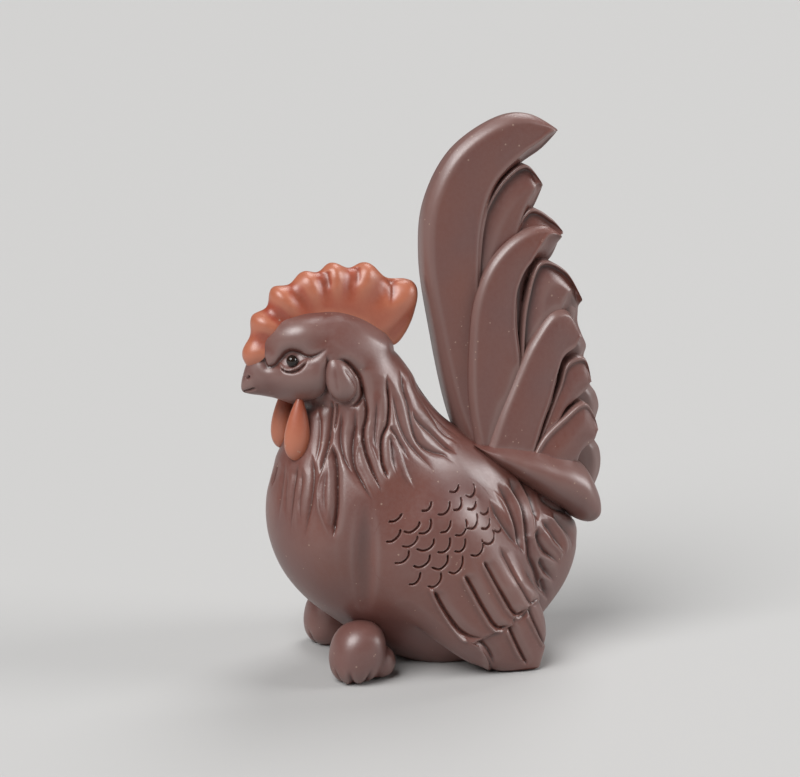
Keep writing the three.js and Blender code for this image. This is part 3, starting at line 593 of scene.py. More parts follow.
# Comb: angle from +Y in degrees and reach in millimetres from its centre, then its section from
# the centre out, as shares of its reach and of its half thickness, how far its ribs stand out,
# how thick its ends are and how fast they thicken, and where its flutes begin on the way out
COMB_CENTRE = (-14.48, 47.48)
COMB_OUTLINE = [
    (188, 12.18), (174, 14.02), (161, 13.31), (150, 14.30), (140, 13.03), (129, 14.58),
    (119.5, 13.31), (108, 14.16), (99, 13.31), (90, 14.58), (79, 13.74), (69, 15.29), (54.5, 14.44),
    (40, 16.71), (26, 14.30), (8, 10.20),
]
COMB_SECTION = [(0.35, 0.95), (0.58, 1.0), (0.79, 0.92), (0.915, 0.72), (0.98, 0.40), (1.0, 0.0)]
COMB_HALF = 2.6
COMB_RIB = 0.5
COMB_END = 0.45
COMB_END_SLOPE = 6
COMB_FLUTE = (0.58, 0.9)

# Brightness of the air as it lights the piece, and as it is seen past the floor
AIR_LEVEL = 0.15
BACKDROP_LEVEL = 0.75
AIR_COLOUR = (0.86, 0.86, 0.86, 1)
FLOOR_REACH = 3000
FLOOR_ROUGHNESS = 0.7
# Large soft lights: name, where each stands to the right, up and towards the camera, how wide
# it looks in degrees, and its power
LAMPS = [
    ("key", (-0.40, 0.62, 0.68), 42, 3.3),
    ("top", (0.22, 0.92, -0.30), 30, 1.2),
    ("right", (0.88, 0.35, 0.10), 26, 1.5),
]

# Clays: names of their body and mottle colours, their painted shade for the cuts and their colour
# of grain and painted sheen on the edges, how much of their sand shows, and their roughness
CLAYS = {
    "purple clay": (("body", "body_mottle", "hollow", "grain_and_sheen"), 0.3, 0.38),
    "red clay": (("comb", "comb_mottle", "comb_painted_shade", "comb_grain_and_sheen"), 0.15, 0.40),
}
# Scales of the mottle, the grain, the sand and the skin of the clay, in features per metre
MOTTLE_SCALE = 90.0
GRAIN_SCALE = 1700.0
SAND_SCALE = 1000.0
SKIN_SCALE = 3200.0
CLOUD_SCALE = 900.0  # in the glaze
# How widely the clay is smoothed to tell how proud a point is, and the height that counts as one
RELIEF_ROUNDS = 14
RELIEF_HEIGHT = 0.12
# Values of the mottle, of the grain and of how proud a point is, over which a colour sets in
MOTTLE_RANGE = (0.3, 0.7)
GRAIN_RANGE = (0.35, 0.75)
PAINTED_SHADE_RANGE = (0.0, -1.0)
PAINTED_SHEEN_RANGE = (0.1, 0.8)
# How strongly grain, painted shade in cuts, painted sheen on edges and sand colour the clay
GRAIN_SHARE = 0.22
PAINTED_SHADE_SHARE = 0.75
PAINTED_SHEEN_SHARE = 0.8
SAND_SHARE = 0.5
# Smallest sand grain and how much larger the largest is, as shares of the space between grains
SAND_SIZE = (0.06, 0.09)
# How far the roughness strays below and above its middle
ROUGHNESS_STRAY = (0.07, 0.09)
SKIN_STRENGTH = 0.22
SKIN_HEIGHT = 0.00006
SHEEN_LEVEL = 0.95
GLAZE_ROUGHNESS = 0.08


# Pictures of points


def to_picture(points):
    """Pixels at which points are seen."""
    away = np.asarray(points, float) - EYE_POINT
    depth = -(away @ BACK)
    across = PHOTO_WIDTH / 2 + FOCUS * (away @ RIGHT) / depth
    down = PHOTO_HEIGHT / 2 - FOCUS * (away @ UP) / depth
    return np.stack([across, down], -1)


def from_picture(pixels, x):
    """Points at distance x from the middle plane that are seen at pixels."""
    pixels = np.asarray(pixels, float)
    ray = (
        -BACK
        + np.outer((pixels[:, 0] - PHOTO_WIDTH / 2) / FOCUS, RIGHT)
        - np.outer((pixels[:, 1] - PHOTO_HEIGHT / 2) / FOCUS, UP)
    )
    return EYE_POINT + ray * ((x - EYE_POINT[0]) / ray[:, :1])


def smooth_path(points, shares):
    """Points of a smooth curve through the given ones, at shares of its number of spans."""
    p = np.asarray(points, float)
    last = len(p) - 1
    place = np.clip(np.asarray(shares, float), 0, 1) * last
    k = np.minimum(place.astype(int), last - 1)
    w = (place - k)[:, None]
    ends = np.vstack([2 * p[0] - p[1], p, 2 * p[-1] - p[-2]])
    a, b, c, d = ends[k], ends[k + 1], ends[k + 2], ends[k + 3]
    before, here, after = (
        np.maximum(np.sqrt(np.linalg.norm(n - m, axis=1)), 1e-4)[:, None]
        for m, n in ((a, b), (b, c), (c, d))
    )
    leave = ((b - a) / before - (c - a) / (before + here) + (c - b) / here) * here
    arrive = ((c - b) / here - (d - b) / (here + after) + (d - c) / after) * here
    bend = -3 * b + 3 * c - 2 * leave - arrive
    return b + leave * w + bend * w**2 + (2 * b - 2 * c + leave + arrive) * w**3


def along(values, shares):
    """Smooth value of a list of numbers at shares of its length."""
    values = np.asarray(values, float)
    return smooth_path(np.stack([values, np.arange(len(values))], 1), shares)[:, 0]


def ease(low, high, value):
    """A soft step from 0 at low to 1 at high."""
    t = np.clip((np.asarray(value, float) - low) / (high - low), 0, 1)
    return t * t * (3 - 2 * t)


# Meshes


def new_object(name, points, faces, edges=()):
    """A mesh object from points in millimetres."""
    mesh = bpy.data.meshes.new(name)
    mesh.from_pydata((np.asarray(points, float) * MM).tolist(), edges, faces)
    mesh.update()
    made = bpy.data.objects.new(name, mesh)
    bpy.context.scene.collection.objects.link(made)
    return made


def tube(rings):
    """Points and faces of a closed skin over rings of equal length, with fans at its ends."""
    rings = np.asarray(rings, float)
    count, around = rings.shape[:2]
    points = np.vstack([rings.reshape(-1, 3), rings[0].mean(0), rings[-1].mean(0)])
    j = np.arange(around)
    following = (j + 1) % around
    faces = []
    for row in range(count - 1):
        low, high = row * around, (row + 1) * around
        faces += np.stack([low + j, low + following, high + following, high + j], 1).tolist()
    start, end = count * around, count * around + 1
    faces += np.stack([np.full(around, start), following, j], 1).tolist()
    last = (count - 1) * around
    faces += np.stack([np.full(around, end), last + j, last + following], 1).tolist()
    return points, faces


@contextmanager
def edited(obj):
    """The mesh of an object, opened for changes and then put back."""
    shape = bmesh.new()
    shape.from_mesh(obj.data)
    yield shape
    shape.to_mesh(obj.data)
    shape.free()


def outward(obj):
    """Turns a closed mesh so that its faces point out of it."""
    with edited(obj) as shape:
        bmesh.ops.recalc_face_normals(shape, faces=shape.faces)
        if shape.calc_volume(signed=True) < 0:
            bmesh.ops.reverse_faces(shape, faces=shape.faces)
    return obj


def joined(name, forms):
    """One mesh that holds several forms."""
    points, faces = [], []
    for these, those in forms:
        shift = sum(len(p) for p in points)
        points.append(these)
        faces += [[k + shift for k in face] for face in those]
    return new_object(name, np.vstack(points), faces)


def piece(name, form):
    """A closed form as a mesh object."""
    return outward(joined(name, [form]))


def applied(obj):
    """Makes an object's modifiers part of its mesh."""
    bpy.context.view_layer.update()
    graph = bpy.context.evaluated_depsgraph_get()
    mesh = bpy.data.meshes.new_from_object(obj.evaluated_get(graph))
    old = obj.data
    obj.modifiers.clear()
    obj.data = mesh
    bpy.data.meshes.remove(old)
    return obj


def copy_of(obj, name):
    """A second object with a mesh of its own."""
    twin = bpy.data.objects.new(name, obj.data.copy())
    bpy.context.scene.collection.objects.link(twin)
    return twin


def discard(*objects):
    """Takes objects and their meshes away."""
    for obj in objects:
        mesh = obj.data
        bpy.data.objects.remove(obj)
        bpy.data.meshes.remove(mesh)


def remeshed(obj, voxel):
    """Runs the forms of a mesh together in clay of one grain."""
    change = obj.modifiers.new("Remesh", "REMESH")
    change.mode = "VOXEL"
    change.voxel_size = voxel * MM
    return applied(obj)


def combined(obj, other, operation):
    """Joins a closed mesh with another, or cuts it with it."""
    change = obj.modifiers.new("Fit", "BOOLEAN")
    change.operation = operation
    change.solver = "MANIFOLD"
    change.object = other
    return applied(obj)


def points_of(obj):
    """Points of a mesh, in millimetres."""
    flat = np.empty(len(obj.data.vertices) * 3)
    obj.data.vertices.foreach_get("co", flat)
    return flat.reshape(-1, 3) / MM


def set_points(obj, points):
    """Moves the points of a mesh to places in millimetres."""
    obj.data.vertices.foreach_set("co", (points * MM).ravel())
    obj.data.update()


def normals_of(obj):
    """Directions in which the points of a mesh face."""
    flat = np.empty(len(obj.data.vertices) * 3)
    obj.data.vertex_normals.foreach_get("vector", flat)
    return flat.reshape(-1, 3)


def edges_of(obj):
    """Pairs of points that a mesh's edges join."""
    flat = np.empty(len(obj.data.edges) * 2, dtype=np.int64)
    obj.data.edges.foreach_get("vertices", flat)
    return flat.reshape(-1, 2)


def gathered(points, row, other, count):
    """For each row, the sum of the points that it is paired with."""
    return np.stack(
        [np.bincount(row, weights=points[other, k], minlength=count) for k in range(3)], 1
    )


def relax(obj, rounds, weight):
    """Moves points towards the mean of their neighbours."""
    points = points_of(obj)
    edges = edges_of(obj)
    weight = np.broadcast_to(np.asarray(weight, float), (len(points),))
    moving = weight > 1e-3
    pairs = np.vstack([edges, edges[:, ::-1]])
    pairs = pairs[moving[pairs[:, 0]]]
    row = (np.cumsum(moving) - 1)[pairs[:, 0]]
    other = pairs[:, 1]
    count = int(moving.sum())
    share = (weight[moving] / np.maximum(np.bincount(row, minlength=count), 1))[:, None]
    keep = 1 - weight[moving][:, None]
    for _ in range(rounds):
        points[moving] = keep * points[moving] + share * gathered(points, row, other, count)
    set_points(obj, points)
    return obj


def refine(obj, wanted):
    """Cuts the edges between wanted points in two."""
    with edited(obj) as shape:
        chosen = [e for e in shape.edges if all(wanted[end.index] for end in e.verts)]
        bmesh.ops.subdivide_edges(shape, edges=chosen, cuts=1, use_grid_fill=True)
    return obj


def shade_smooth(obj):
    """Smooths a mesh except over its sharp edges."""
    faces = obj.data.polygons
    faces.foreach_set("use_smooth", np.ones(len(faces), dtype=bool))
    with edited(obj) as shape:
        for edge in shape.edges:
            edge.smooth = len(edge.link_faces) == 2 and edge.calc_face_angle(0) < SHARP_TURN


def mirrored(obj, name):
    """The same piece for the other side."""
    twin = copy_of(obj, name)
    with edited(twin) as shape:
        for vertex in shape.verts:
            vertex.co.x = -vertex.co.x
        bmesh.ops.reverse_faces(shape, faces=shape.faces)
    return twin


def left_half(obj):
    """Keeps the left half of a closed mesh and closes it at the middle."""
    with edited(obj) as shape:
        everything = shape.verts[:] + shape.edges[:] + shape.faces[:]
        middle = {"plane_co": (0, 0, 0), "plane_no": (1, 0, 0)}
        bmesh.ops.bisect_plane(shape, geom=everything, clear_inner=True, **middle)
        rim = [edge for edge in shape.edges if edge.is_boundary]
        bmesh.ops.holes_fill(shape, edges=rim, sides=0)
    return obj


# Carving


def nearest_on_path(pixels, path):
    """Distance to a path, its signed side (right of a downward one is positive) and place."""
    start = path[:-1]
    step = path[1:] - start
    length = np.linalg.norm(step, axis=1)
    ahead = np.concatenate([[0], np.cumsum(length)])
    away = pixels[:, None, :] - start[None]
    share = np.clip((away * step).sum(-1) / np.maximum(length**2, 1e-9), 0, 1)
    gap = away - share[..., None] * step
    distance = np.linalg.norm(gap, axis=-1)
    best = distance.argmin(1)
    rows = np.arange(len(pixels))
    side = step[best, 1] * gap[rows, best, 0] - step[best, 0] * gap[rows, best, 1]
    place = (ahead[best] + share[rows, best] * length[best]) / ahead[-1]
    return distance[rows, best], np.where(side >= 0, 1, -1), place


def spaced(points, step=1.5):
    """A smooth path through points, in short steps."""
    rough = np.asarray(points, float)
    total = np.linalg.norm(np.diff(rough, axis=0), axis=1).sum()
    return smooth_path(rough, np.linspace(0, 1, max(4, int(total / step))))


def cut_depth(pixels, cut, broad, spread):
    """Height that one cut takes off at each pixel: a sharp groove in a broad soft valley."""
    depth, left, right, start, end, points = cut
    path = spaced(points)
    reach = max(left, right) * spread + 1
    near = ((pixels > path.min(0) - reach) & (pixels < path.max(0) + reach)).all(1)
    taken = np.zeros(len(pixels))
    if not near.any():
        return taken
    distance, side, place = nearest_on_path(pixels[near], path)
    fade = ease(0, start, place) * ease(0, end, 1 - place)
    width = np.where(side > 0, right, left) * (GROOVE_END_WIDTH + (1 - GROOVE_END_WIDTH) * fade)
    groove = 1 - np.sqrt((distance / width) ** 2 + GROOVE_ROUNDNESS)
    groove = np.clip(groove, 0, 1) ** GROOVE_STEEPNESS
    valley = np.clip(1 - (distance / (spread * width)) ** 2, 0, 1) ** 2
    taken[near] = depth * fade * ((1 - broad) * GROOVE_DEPTH * groove + broad * valley)
    return taken


def carved(pixels, cuts, valley=LOOSE_VALLEY):
    """Height of the surface after all cuts and ridges. Cuts that meet run into each other."""
    sunk = np.zeros(len(pixels))
    raised = np.zeros(len(pixels))
    for cut in cuts:
        if cut[0] < 0:
            raised += cut_depth(pixels, (-cut[0], *cut[1:]), *RIDGE_VALLEY)
        else:
            sunk += cut_depth(pixels, cut, *valley) ** 3
    return raised - np.cbrt(sunk)


def swollen(pixels, swellings):
    """Height of the soft swellings at pixels."""
    height = np.zeros(len(pixels))
    for across, down, wide, tall, slope, rise in swellings:
        turn = math.radians(slope)
        away = pixels - (across, down)
        u = (away[:, 0] * math.cos(turn) + away[:, 1] * math.sin(turn)) / wide
        v = (away[:, 1] * math.cos(turn) - away[:, 0] * math.sin(turn)) / tall
        height += rise * np.clip(1 - u * u - v * v, 0, 1) ** 2
    return height


def inside(pixels, outline):
    """Whether pixels lie in a closed outline."""
    outline = np.asarray(outline, float)
    result = np.zeros(len(pixels), dtype=bool)
    for a, b in zip(outline, np.roll(outline, -1, axis=0)):
        crosses = (a[1] > pixels[:, 1]) != (b[1] > pixels[:, 1])
        slope = (b[0] - a[0]) / (b[1] - a[1] if b[1] != a[1] else 1e-9)
        result ^= crosses & (pixels[:, 0] < a[0] + slope * (pixels[:, 1] - a[1]))
    return result


def relief(points, normals, sizes):
    """Height of the carving over the smooth form, in millimetres."""
    pixels = to_picture(points)
    facing = ease(-0.5, -0.2, normals @ BACK)
    height = sizes.lock_depth * carved(pixels, HACKLES, HACKLE_VALLEY)
    height += SADDLE_DEPTH * sizes.lock_depth * carved(pixels, SADDLE, SADDLE_VALLEY)
    height += carved(pixels, FACE, FACE_VALLEY) + swollen(pixels, SWELLINGS)
    on_wing = ease(*WING_START, points[:, 0])
    reach, _, _ = nearest_on_path(pixels, np.asarray(TIER_EDGE, float))
    step = np.where(inside(pixels, TIPS), ease(0, 4, reach), 0)
    wing = sizes.quill_depth * carved(pixels, QUILLS, QUILL_VALLEY)
    wing -= sizes.tier_step / MM * step
    return (height + on_wing * wing) * facing


# Forms


def place_in(form, shares):
    """Places in the side view, from hundredths of a form's length and height."""
    shares = np.asarray(shares, float)
    y = form["y"] + form["length"] * shares[..., 0] / 100
    z = form["z"] + form["height"] * shares[..., 1] / 100
    return np.stack([y, z], -1)


def crossings(form, fronts, backs, shares):
    """Middle, half length and direction of the chords from a form's front to its back."""
    front = smooth_path(place_in(form, fronts), shares)
    back = smooth_path(place_in(form, backs), shares)
    chord = back - front
    half = np.linalg.norm(chord, axis=1) / 2
    return (front + back) / 2, half, chord / (2 * half[:, None])


def push_end(ring, inner, grow):
    """Moves the last ring of a form on past the ring before it."""
    way = ring.mean(0) - inner.mean(0)
    ring += grow * way / np.linalg.norm(way)


def round_form(form, stations, rings, around, grow=0.0):
    """A round form through stations, moved outwards by grow."""
    table = np.asarray(stations, float)
    shares = np.linspace(0, 1, rings)
    centre, half, way = crossings(form, table[:, :2], table[:, 2:4], shares)
    wide = np.maximum(0.1, along(table[:, 4] / 200 * form["width"], shares) + grow)
    lean = along(table[:, 5] / 100, shares)
    turn = np.linspace(0, 2 * math.pi, around, endpoint=False)
    across = -np.maximum(0.1, half + grow)[:, None] * np.cos(turn)
    rows = np.empty((rings, around, 3))
    rows[..., 0] = wide[:, None] * np.sin(turn) * (1 + lean[:, None] * np.cos(turn))
    rows[..., 1:] = centre[:, None] + across[..., None] * way[:, None]
    push_end(rows[0], rows[1], grow)
    push_end(rows[-1], rows[-2], grow)
    return tube(rows)


def wing_form(rings, around):
    """The leaf of clay that a wing is carved from."""
    table = np.asarray(WING_STATIONS, float)
    shares = np.linspace(0, 1, rings)
    centre, half, way = crossings(WING, table[:, :2], table[:, 2:4], shares)
    face = WING["face"] - along(table[:, 4], shares)
    thick = WING["thick"] / 2
    turn = np.linspace(0, 2 * math.pi, around, endpoint=False)
    bulge = np.sign(np.sin(turn)) * np.abs(np.sin(turn)) ** WING_FLATNESS
    across = -half[:, None] * np.cos(turn)
    rows = np.empty((rings, around, 3))
    rows[..., 0] = face[:, None] - thick + thick * bulge
    rows[..., 1:] = centre[:, None] + across[..., None] * way[:, None]
    return tube(rows)


def crest_shape(ahead, behind, long, facet, style, inset):
    """Height of a feather's face at distances from its front and its back edge."""
    rounding, rim, dip, swell, crest, power = style
    scale = np.clip(long / 5, 0.15, 1)
    near = np.clip(1 - ahead / np.maximum(rounding * scale, 1e-3), 0, 1)
    height = -0.8 * rounding * scale * near**2
    height += rim * np.exp(-(((ahead / scale - RIM[0]) / RIM[1]) ** 2)) * scale
    trough = ease(*DIP_START, ahead / scale) * (1 - ease(*DIP_END, ahead / scale))
    height -= dip * scale * trough
    middle = (ahead - behind) / np.maximum(long, 1e-6)
    height -= swell * middle**2
    slope = facet * long
    height += crest * np.exp(-(((behind - slope - CREST[0]) / CREST[1]) ** 2))
    past = np.clip(1 - behind / np.maximum(slope, 1e-3), 0, 1)
    return height - inset * past**power


def feather_form(feather, size, both):
    """A tail feather between two edges, modelled by its style on one side or on both."""
    faces, front_edge, back_edge, style, facets = feather
    shares = np.linspace(0, FEATHER_TIP, FEATHER_ROWS)
    front = smooth_path(place_in(TAIL, front_edge), shares)
    back = smooth_path(place_in(TAIL, back_edge), shares)
    chord = back - front
    long = np.linalg.norm(chord, axis=1)[:, None]
    facet = np.clip(along(facets, shares) / 100, 0.02, 0.97)[:, None]
    crest_at = long * (1 - facet)
    lip = np.minimum(FEATHER_LIP, 0.45 * crest_at)
    on_lip, on_face, on_facet = (np.linspace(0, 1, count)[None] for count in FEATHER_COLUMNS)
    ahead = np.concatenate(
        [
            on_lip * lip,
            lip + (crest_at - lip) * on_face[:, 1:],
            crest_at + (long - crest_at) * on_facet[:, 1:],
        ],
        1,
    )
    t = ahead / long
    face = (np.interp(shares, np.linspace(0, 1, len(faces)), faces) * size / 100)[:, None]
    drop = 0.85 * face * ease(0.45, 0.8, shares)[:, None] + 0.35
    drop = np.maximum(drop, 0.8 * face * (style[-1] > 1))
    height = face + crest_shape(ahead, long - ahead, long, facet, style, drop)
    end = ease(0, 0.03, 1 - shares / FEATHER_TIP)[:, None]
    height = np.maximum(height, 0.05) * (0.55 + 0.45 * np.sqrt(end))
    yz = front[:, None] + t[..., None] * chord[:, None]
    top = np.concatenate([height[..., None], yz], -1)
    if both:
        bottom = top[:, ::-1].copy()
        bottom[..., 0] *= -1
    else:
        columns = np.linspace(1, 0, 12)
        bottom = np.zeros((len(shares), 12, 3))
        bottom[..., 1:] = front[:, None] + columns[None, :, None] * chord[:, None]
    return tube(np.concatenate([top, bottom], 1))


def cushion_form():
    """The round roll of clay that covers the roots of the feathers on one side."""
    shares = 0.5 - 0.5 * np.cos(np.linspace(0, math.pi, CUSHION_ROWS))
    front = smooth_path(place_in(TAIL, CUSHION_TOP), shares)
    back = smooth_path(place_in(TAIL, CUSHION_LOW), shares)
    face = along(CUSHION_FACES, shares)[:, None] * TAIL["fan"] / 100
    turn = np.linspace(0, math.pi, CUSHION_COLUMNS)
    height = face * np.sin(turn)[None] ** CUSHION_FLATNESS + 0.02
    middle, half = (front + back)[:, None] / 2, (front - back)[:, None] / 2
    top = np.concatenate([height[..., None], middle + half * np.cos(turn)[None, :, None]], -1)
    bottom = top[:, ::-1].copy()
    bottom[..., 0] = 0
    return tube(np.concatenate([top, bottom[:, 1:-1]], 1))


def core_form():
    """The plate in the middle of the tail, with a facet along the lobes of its rear edge."""
    front = smooth_path(place_in(TAIL, CORE_FRONT), np.linspace(0, 1, 150))
    rear = smooth_path(from_picture(CORE_LOBES, 0.5)[:, 1:], np.linspace(0, 1, 150))
    long = np.linalg.norm(rear - front, axis=1)[:, None]
    behind = long * (1 - np.linspace(0, 1, 24)) ** 2
    side = CORE_HALF - (CORE_HALF - CORE_EDGE) * np.clip(1 - behind / CORE_FACET, 0, 1)
    yz = rear[:, None] + (behind / long)[..., None] * (front - rear)[:, None]
    top = np.concatenate([side[..., None], yz], -1)
    bottom = top[:, ::-1].copy()
    bottom[..., 0] *= -1
    return tube(np.concatenate([top, bottom], 1))


def comb_form():
    """The fan of clay on the crown, with a flute between each pair of lobes."""
    shares = np.linspace(0, 1, 300)
    angle = np.radians(along([a for a, _ in COMB_OUTLINE], shares))
    reach = along([r for _, r in COMB_OUTLINE], shares)
    rib = along([COMB_RIB * (1 if i % 2 else -1) for i in range(len(COMB_OUTLINE))], shares)
    section = smooth_path(COMB_SECTION, np.linspace(0, 1, 40))
    left = np.vstack([section, (section * (1, -1))[-2::-1]])
    end = np.minimum(1, COMB_END + COMB_END_SLOPE * np.minimum(shares, 1 - shares))
    share = np.concatenate([section[:, 0], section[-2::-1, 0]])
    flute = rib[:, None] * ease(*COMB_FLUTE, share)[None]
    half = (COMB_HALF + flute) * end[:, None]
    rows = np.empty((len(shares), len(left), 3))
    rows[..., 0] = left[None, :, 1] * half
    out = reach[:, None] * left[None, :, 0]
    rows[..., 1] = COMB_CENTRE[0] + out * np.cos(angle)[:, None]
    rows[..., 2] = COMB_CENTRE[1] + out * np.sin(angle)[:, None]
    return tube(rows)


def prism(outline, low, high):
    """A block whose outline is drawn in pixels, between two distances from the middle."""
    rings = np.stack([from_picture(outline, low), from_picture(outline, high)])
    return tube(rings)


def block(low, high):
    """A box between two corners."""
    (x0, y0, z0), (x1, y1, z1) = low, high
    base = [(x0, y0), (x1, y0), (x1, y1), (x0, y1)]
    rings = np.array([[(x, y, z) for x, y in base] for z in (z0, z1)], float)
    return tube(rings)


def finish_piece(obj, nodes, material):
    """Puts a piece of clay on the body in place of its plain ones."""
    obj.data.materials.clear()
    obj.data.materials.append(material)
    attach(obj, "root")
    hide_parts(*nodes)
    return obj


def store(obj, name, values, kind="FLOAT", field="value"):
    """Keeps a number or a vector for each point of a mesh."""
    attributes = obj.data.attributes
    layer = attributes.get(name) or attributes.new(name, kind, "POINT")
    layer.data.foreach_set(field, np.asarray(values, np.float32).ravel())


def store_relief(obj):
    """Keeps how hollow or how proud each point is, for the painted shade and painted sheen."""
    points = points_of(obj)
    edges = edges_of(obj)
    count = len(points)
    here, other = np.vstack([edges, edges[:, ::-1]]).T
    degree = np.maximum(np.bincount(here, minlength=count), 1)[:, None]
    mean = points
    for _ in range(RELIEF_ROUNDS):
        mean = gathered(mean, here, other, count) / degree
    proud = ((points - mean) * normals_of(obj)).sum(1)
    store(obj, "proud", np.clip(proud / RELIEF_HEIGHT, -1, 1))


# Finishes


class Nodes:
    """Short ways to add and join the nodes of a tree."""

    def __init__(self, tree):
        self.tree = tree

    def add(self, kind, **values):
        """A node with its settings."""
        node = self.tree.nodes.new(kind)
        for name, value in values.items():
            setattr(node, name, value)
        return node

    def link(self, source, target):
        """Joins an output to an input."""
        self.tree.links.new(source, target)

    def feed(self, slot, value):
        """Joins an output to an input, or sets the input to a value."""
        if isinstance(value, bpy.types.NodeSocket):
            self.link(value, slot)
        else:
            slot.default_value = value

    def made(self, kind, inputs, **values):
        """A node with some of its inputs set or joined."""
        node = self.add(kind, **values)
        for name, value in inputs.items():
            self.feed(node.inputs[name], value)
        return node

    def vector(self, operation, *inputs):
        """A node that works on vectors."""
        node = self.add("ShaderNodeVectorMath", operation=operation)
        for slot, value in zip(node.inputs, inputs):
            self.feed(slot, value)
        return node

    def math(self, operation, *inputs, clamp=False):
        """The result of a sum."""
        node = self.add("ShaderNodeMath", operation=operation, use_clamp=clamp)
        for slot, value in zip(node.inputs, inputs):
            self.feed(slot, value)
        return node.outputs[0]

    def noise(self, where, scale, detail=3.0, roughness=0.5):
        """Cloudy values between 0 and 1."""
        inputs = {"Vector": where, "Scale": scale, "Detail": detail, "Roughness": roughness}
        return self.made("ShaderNodeTexNoise", inputs).outputs["Fac"]

    def ramp(self, value, low, high):
        """0 at low and 1 at high, and straight between them."""
        inputs = {"Value": value, "From Min": low, "From Max": high}
        return self.made("ShaderNodeMapRange", inputs).outputs["Result"]

    def mix(self, share, a, b):
        """Colour a, with a share of colour b."""
        node = self.add("ShaderNodeMix", data_type="RGBA")
        for slot, value in zip((0, 6, 7), (share, a, b)):
            colour = (*value, 1.0) if isinstance(value, tuple) else value
            self.feed(node.inputs[slot], colour)
        return node.outputs[2]


def new_finish(name):
    """A material, the ways to add to it, its shader and the place of each point on a piece."""
    material = bpy.data.materials.new(name)
    material.use_nodes = True
    nodes = Nodes(material.node_tree)
    where = nodes.add("ShaderNodeTexCoord").outputs["Object"]
    return material, nodes, material.node_tree.nodes["Principled BSDF"], where


def clay(name):
    """Fired clay with fine sand, painted shade in its cuts and a painted sheen on its edges."""
    found = bpy.data.materials.get(name)
    if found:
        return found
    tones = bpy.context.scene.rooster_colours
    names, sand_share, roughness = CLAYS[name]
    # The third colour is the painted shade of the cuts; the fourth tints the grain and paints a sheen
    # on edges
    colour, mottle, hollow, grain_and_sheen = (getattr(tones, title)[:] for title in names)
    material, nodes, shader, where = new_finish(name)
    broad = nodes.noise(where, MOTTLE_SCALE, 2.0)
    fine = nodes.noise(where, GRAIN_SCALE, 4.0, 0.65)
    proud = nodes.add("ShaderNodeAttribute", attribute_name="proud").outputs["Fac"]
    tint = nodes.mix(nodes.ramp(broad, *MOTTLE_RANGE), colour, mottle)
    grain = nodes.math("MULTIPLY", nodes.ramp(fine, *GRAIN_RANGE), GRAIN_SHARE)
    shade = nodes.mix(grain, tint, grain_and_sheen)
    # Painted shade: points lower than their neighbours are darkened towards the cut colour
    low = nodes.math("MULTIPLY", nodes.ramp(proud, *PAINTED_SHADE_RANGE), PAINTED_SHADE_SHARE)
    shade = nodes.mix(low, shade, hollow)
    # Painted sheen: proud points are lightened towards the edge colour, as a painted highlight
    high = nodes.math("MULTIPLY", nodes.ramp(proud, *PAINTED_SHEEN_RANGE), PAINTED_SHEEN_SHARE)
    shade = nodes.mix(high, shade, grain_and_sheen)
    cells = nodes.made("ShaderNodeTexVoronoi", {"Vector": where, "Scale": SAND_SCALE})
    chance = nodes.made("ShaderNodeSeparateColor", {"Color": cells.outputs["Color"]}).outputs
    chosen = nodes.math("LESS_THAN", chance[0], sand_share)
    size = nodes.math("MULTIPLY_ADD", chance[1], SAND_SIZE[1], SAND_SIZE[0])
    sand = nodes.math("LESS_THAN", cells.outputs["Distance"], size)
    speck = nodes.math("MULTIPLY", nodes.math("MULTIPLY", chosen, sand), SAND_SHARE)
    nodes.link(nodes.mix(speck, shade, tones.sand[:]), shader.inputs["Base Color"])
    least, most = roughness - ROUGHNESS_STRAY[0], roughness + ROUGHNESS_STRAY[1]
    rough = nodes.made("ShaderNodeMapRange", {"Value": fine, "To Min": least, "To Max": most})
    nodes.link(rough.outputs["Result"], shader.inputs["Roughness"])
    height = nodes.math("ADD", nodes.noise(where, SKIN_SCALE, 3.0), speck)
    bumps = {"Strength": SKIN_STRENGTH, "Distance": SKIN_HEIGHT, "Height": height}
    skin = nodes.made("ShaderNodeBump", bumps)
    nodes.link(skin.outputs["Normal"], shader.inputs["Normal"])
    shader.inputs["Specular IOR Level"].default_value = SHEEN_LEVEL
    material.diffuse_color = (*colour, 1.0)
    return material


def glaze(name, colour, depth):
    """Black glass with a brown depth that shows where it is lit."""
    material, nodes, shader, where = new_finish(name)
    cloud = nodes.ramp(nodes.noise(where, CLOUD_SCALE, 2.0), *GRAIN_RANGE)
    nodes.link(nodes.mix(cloud, colour, depth), shader.inputs["Base Color"])
    shader.inputs["Roughness"].default_value = GLAZE_ROUGHNESS
    return material


def new_tree(name, sockets):
    """A geometry tree with named inputs, and the ways to build it."""
    tree = bpy.data.node_groups.new(name, "GeometryNodeTree")
    tree.interface.new_socket("Geometry", in_out="OUTPUT", socket_type="NodeSocketGeometry")
    for label, kind in sockets.items():
        tree.interface.new_socket(label, in_out="INPUT", socket_type=f"NodeSocket{kind}")
    nodes = Nodes(tree)
    return nodes, nodes.add("NodeGroupInput").outputs


def closed_tree(nodes, clay_out, material):
    """Ends a tree: real geometry, with its material."""
    real = nodes.made("GeometryNodeRealizeInstances", {"Geometry": clay_out}).outputs[0]
    dressed = nodes.made("GeometryNodeSetMaterial", {"Geometry": real, "Material": material})
    nodes.link(dressed.outputs[0], nodes.add("NodeGroupOutput").inputs[0])
    return nodes.tree


def shaped(obj, tree, values):
    """Runs a tree on an object and keeps what it makes as a plain mesh."""
    change = obj.modifiers.new("Shape", "NODES")
    change.node_group = tree
    for socket in tree.interface.items_tree:
        if socket.in_out == "INPUT" and socket.name in values:
            change[socket.identifier] = values[socket.name]
    return applied(obj)


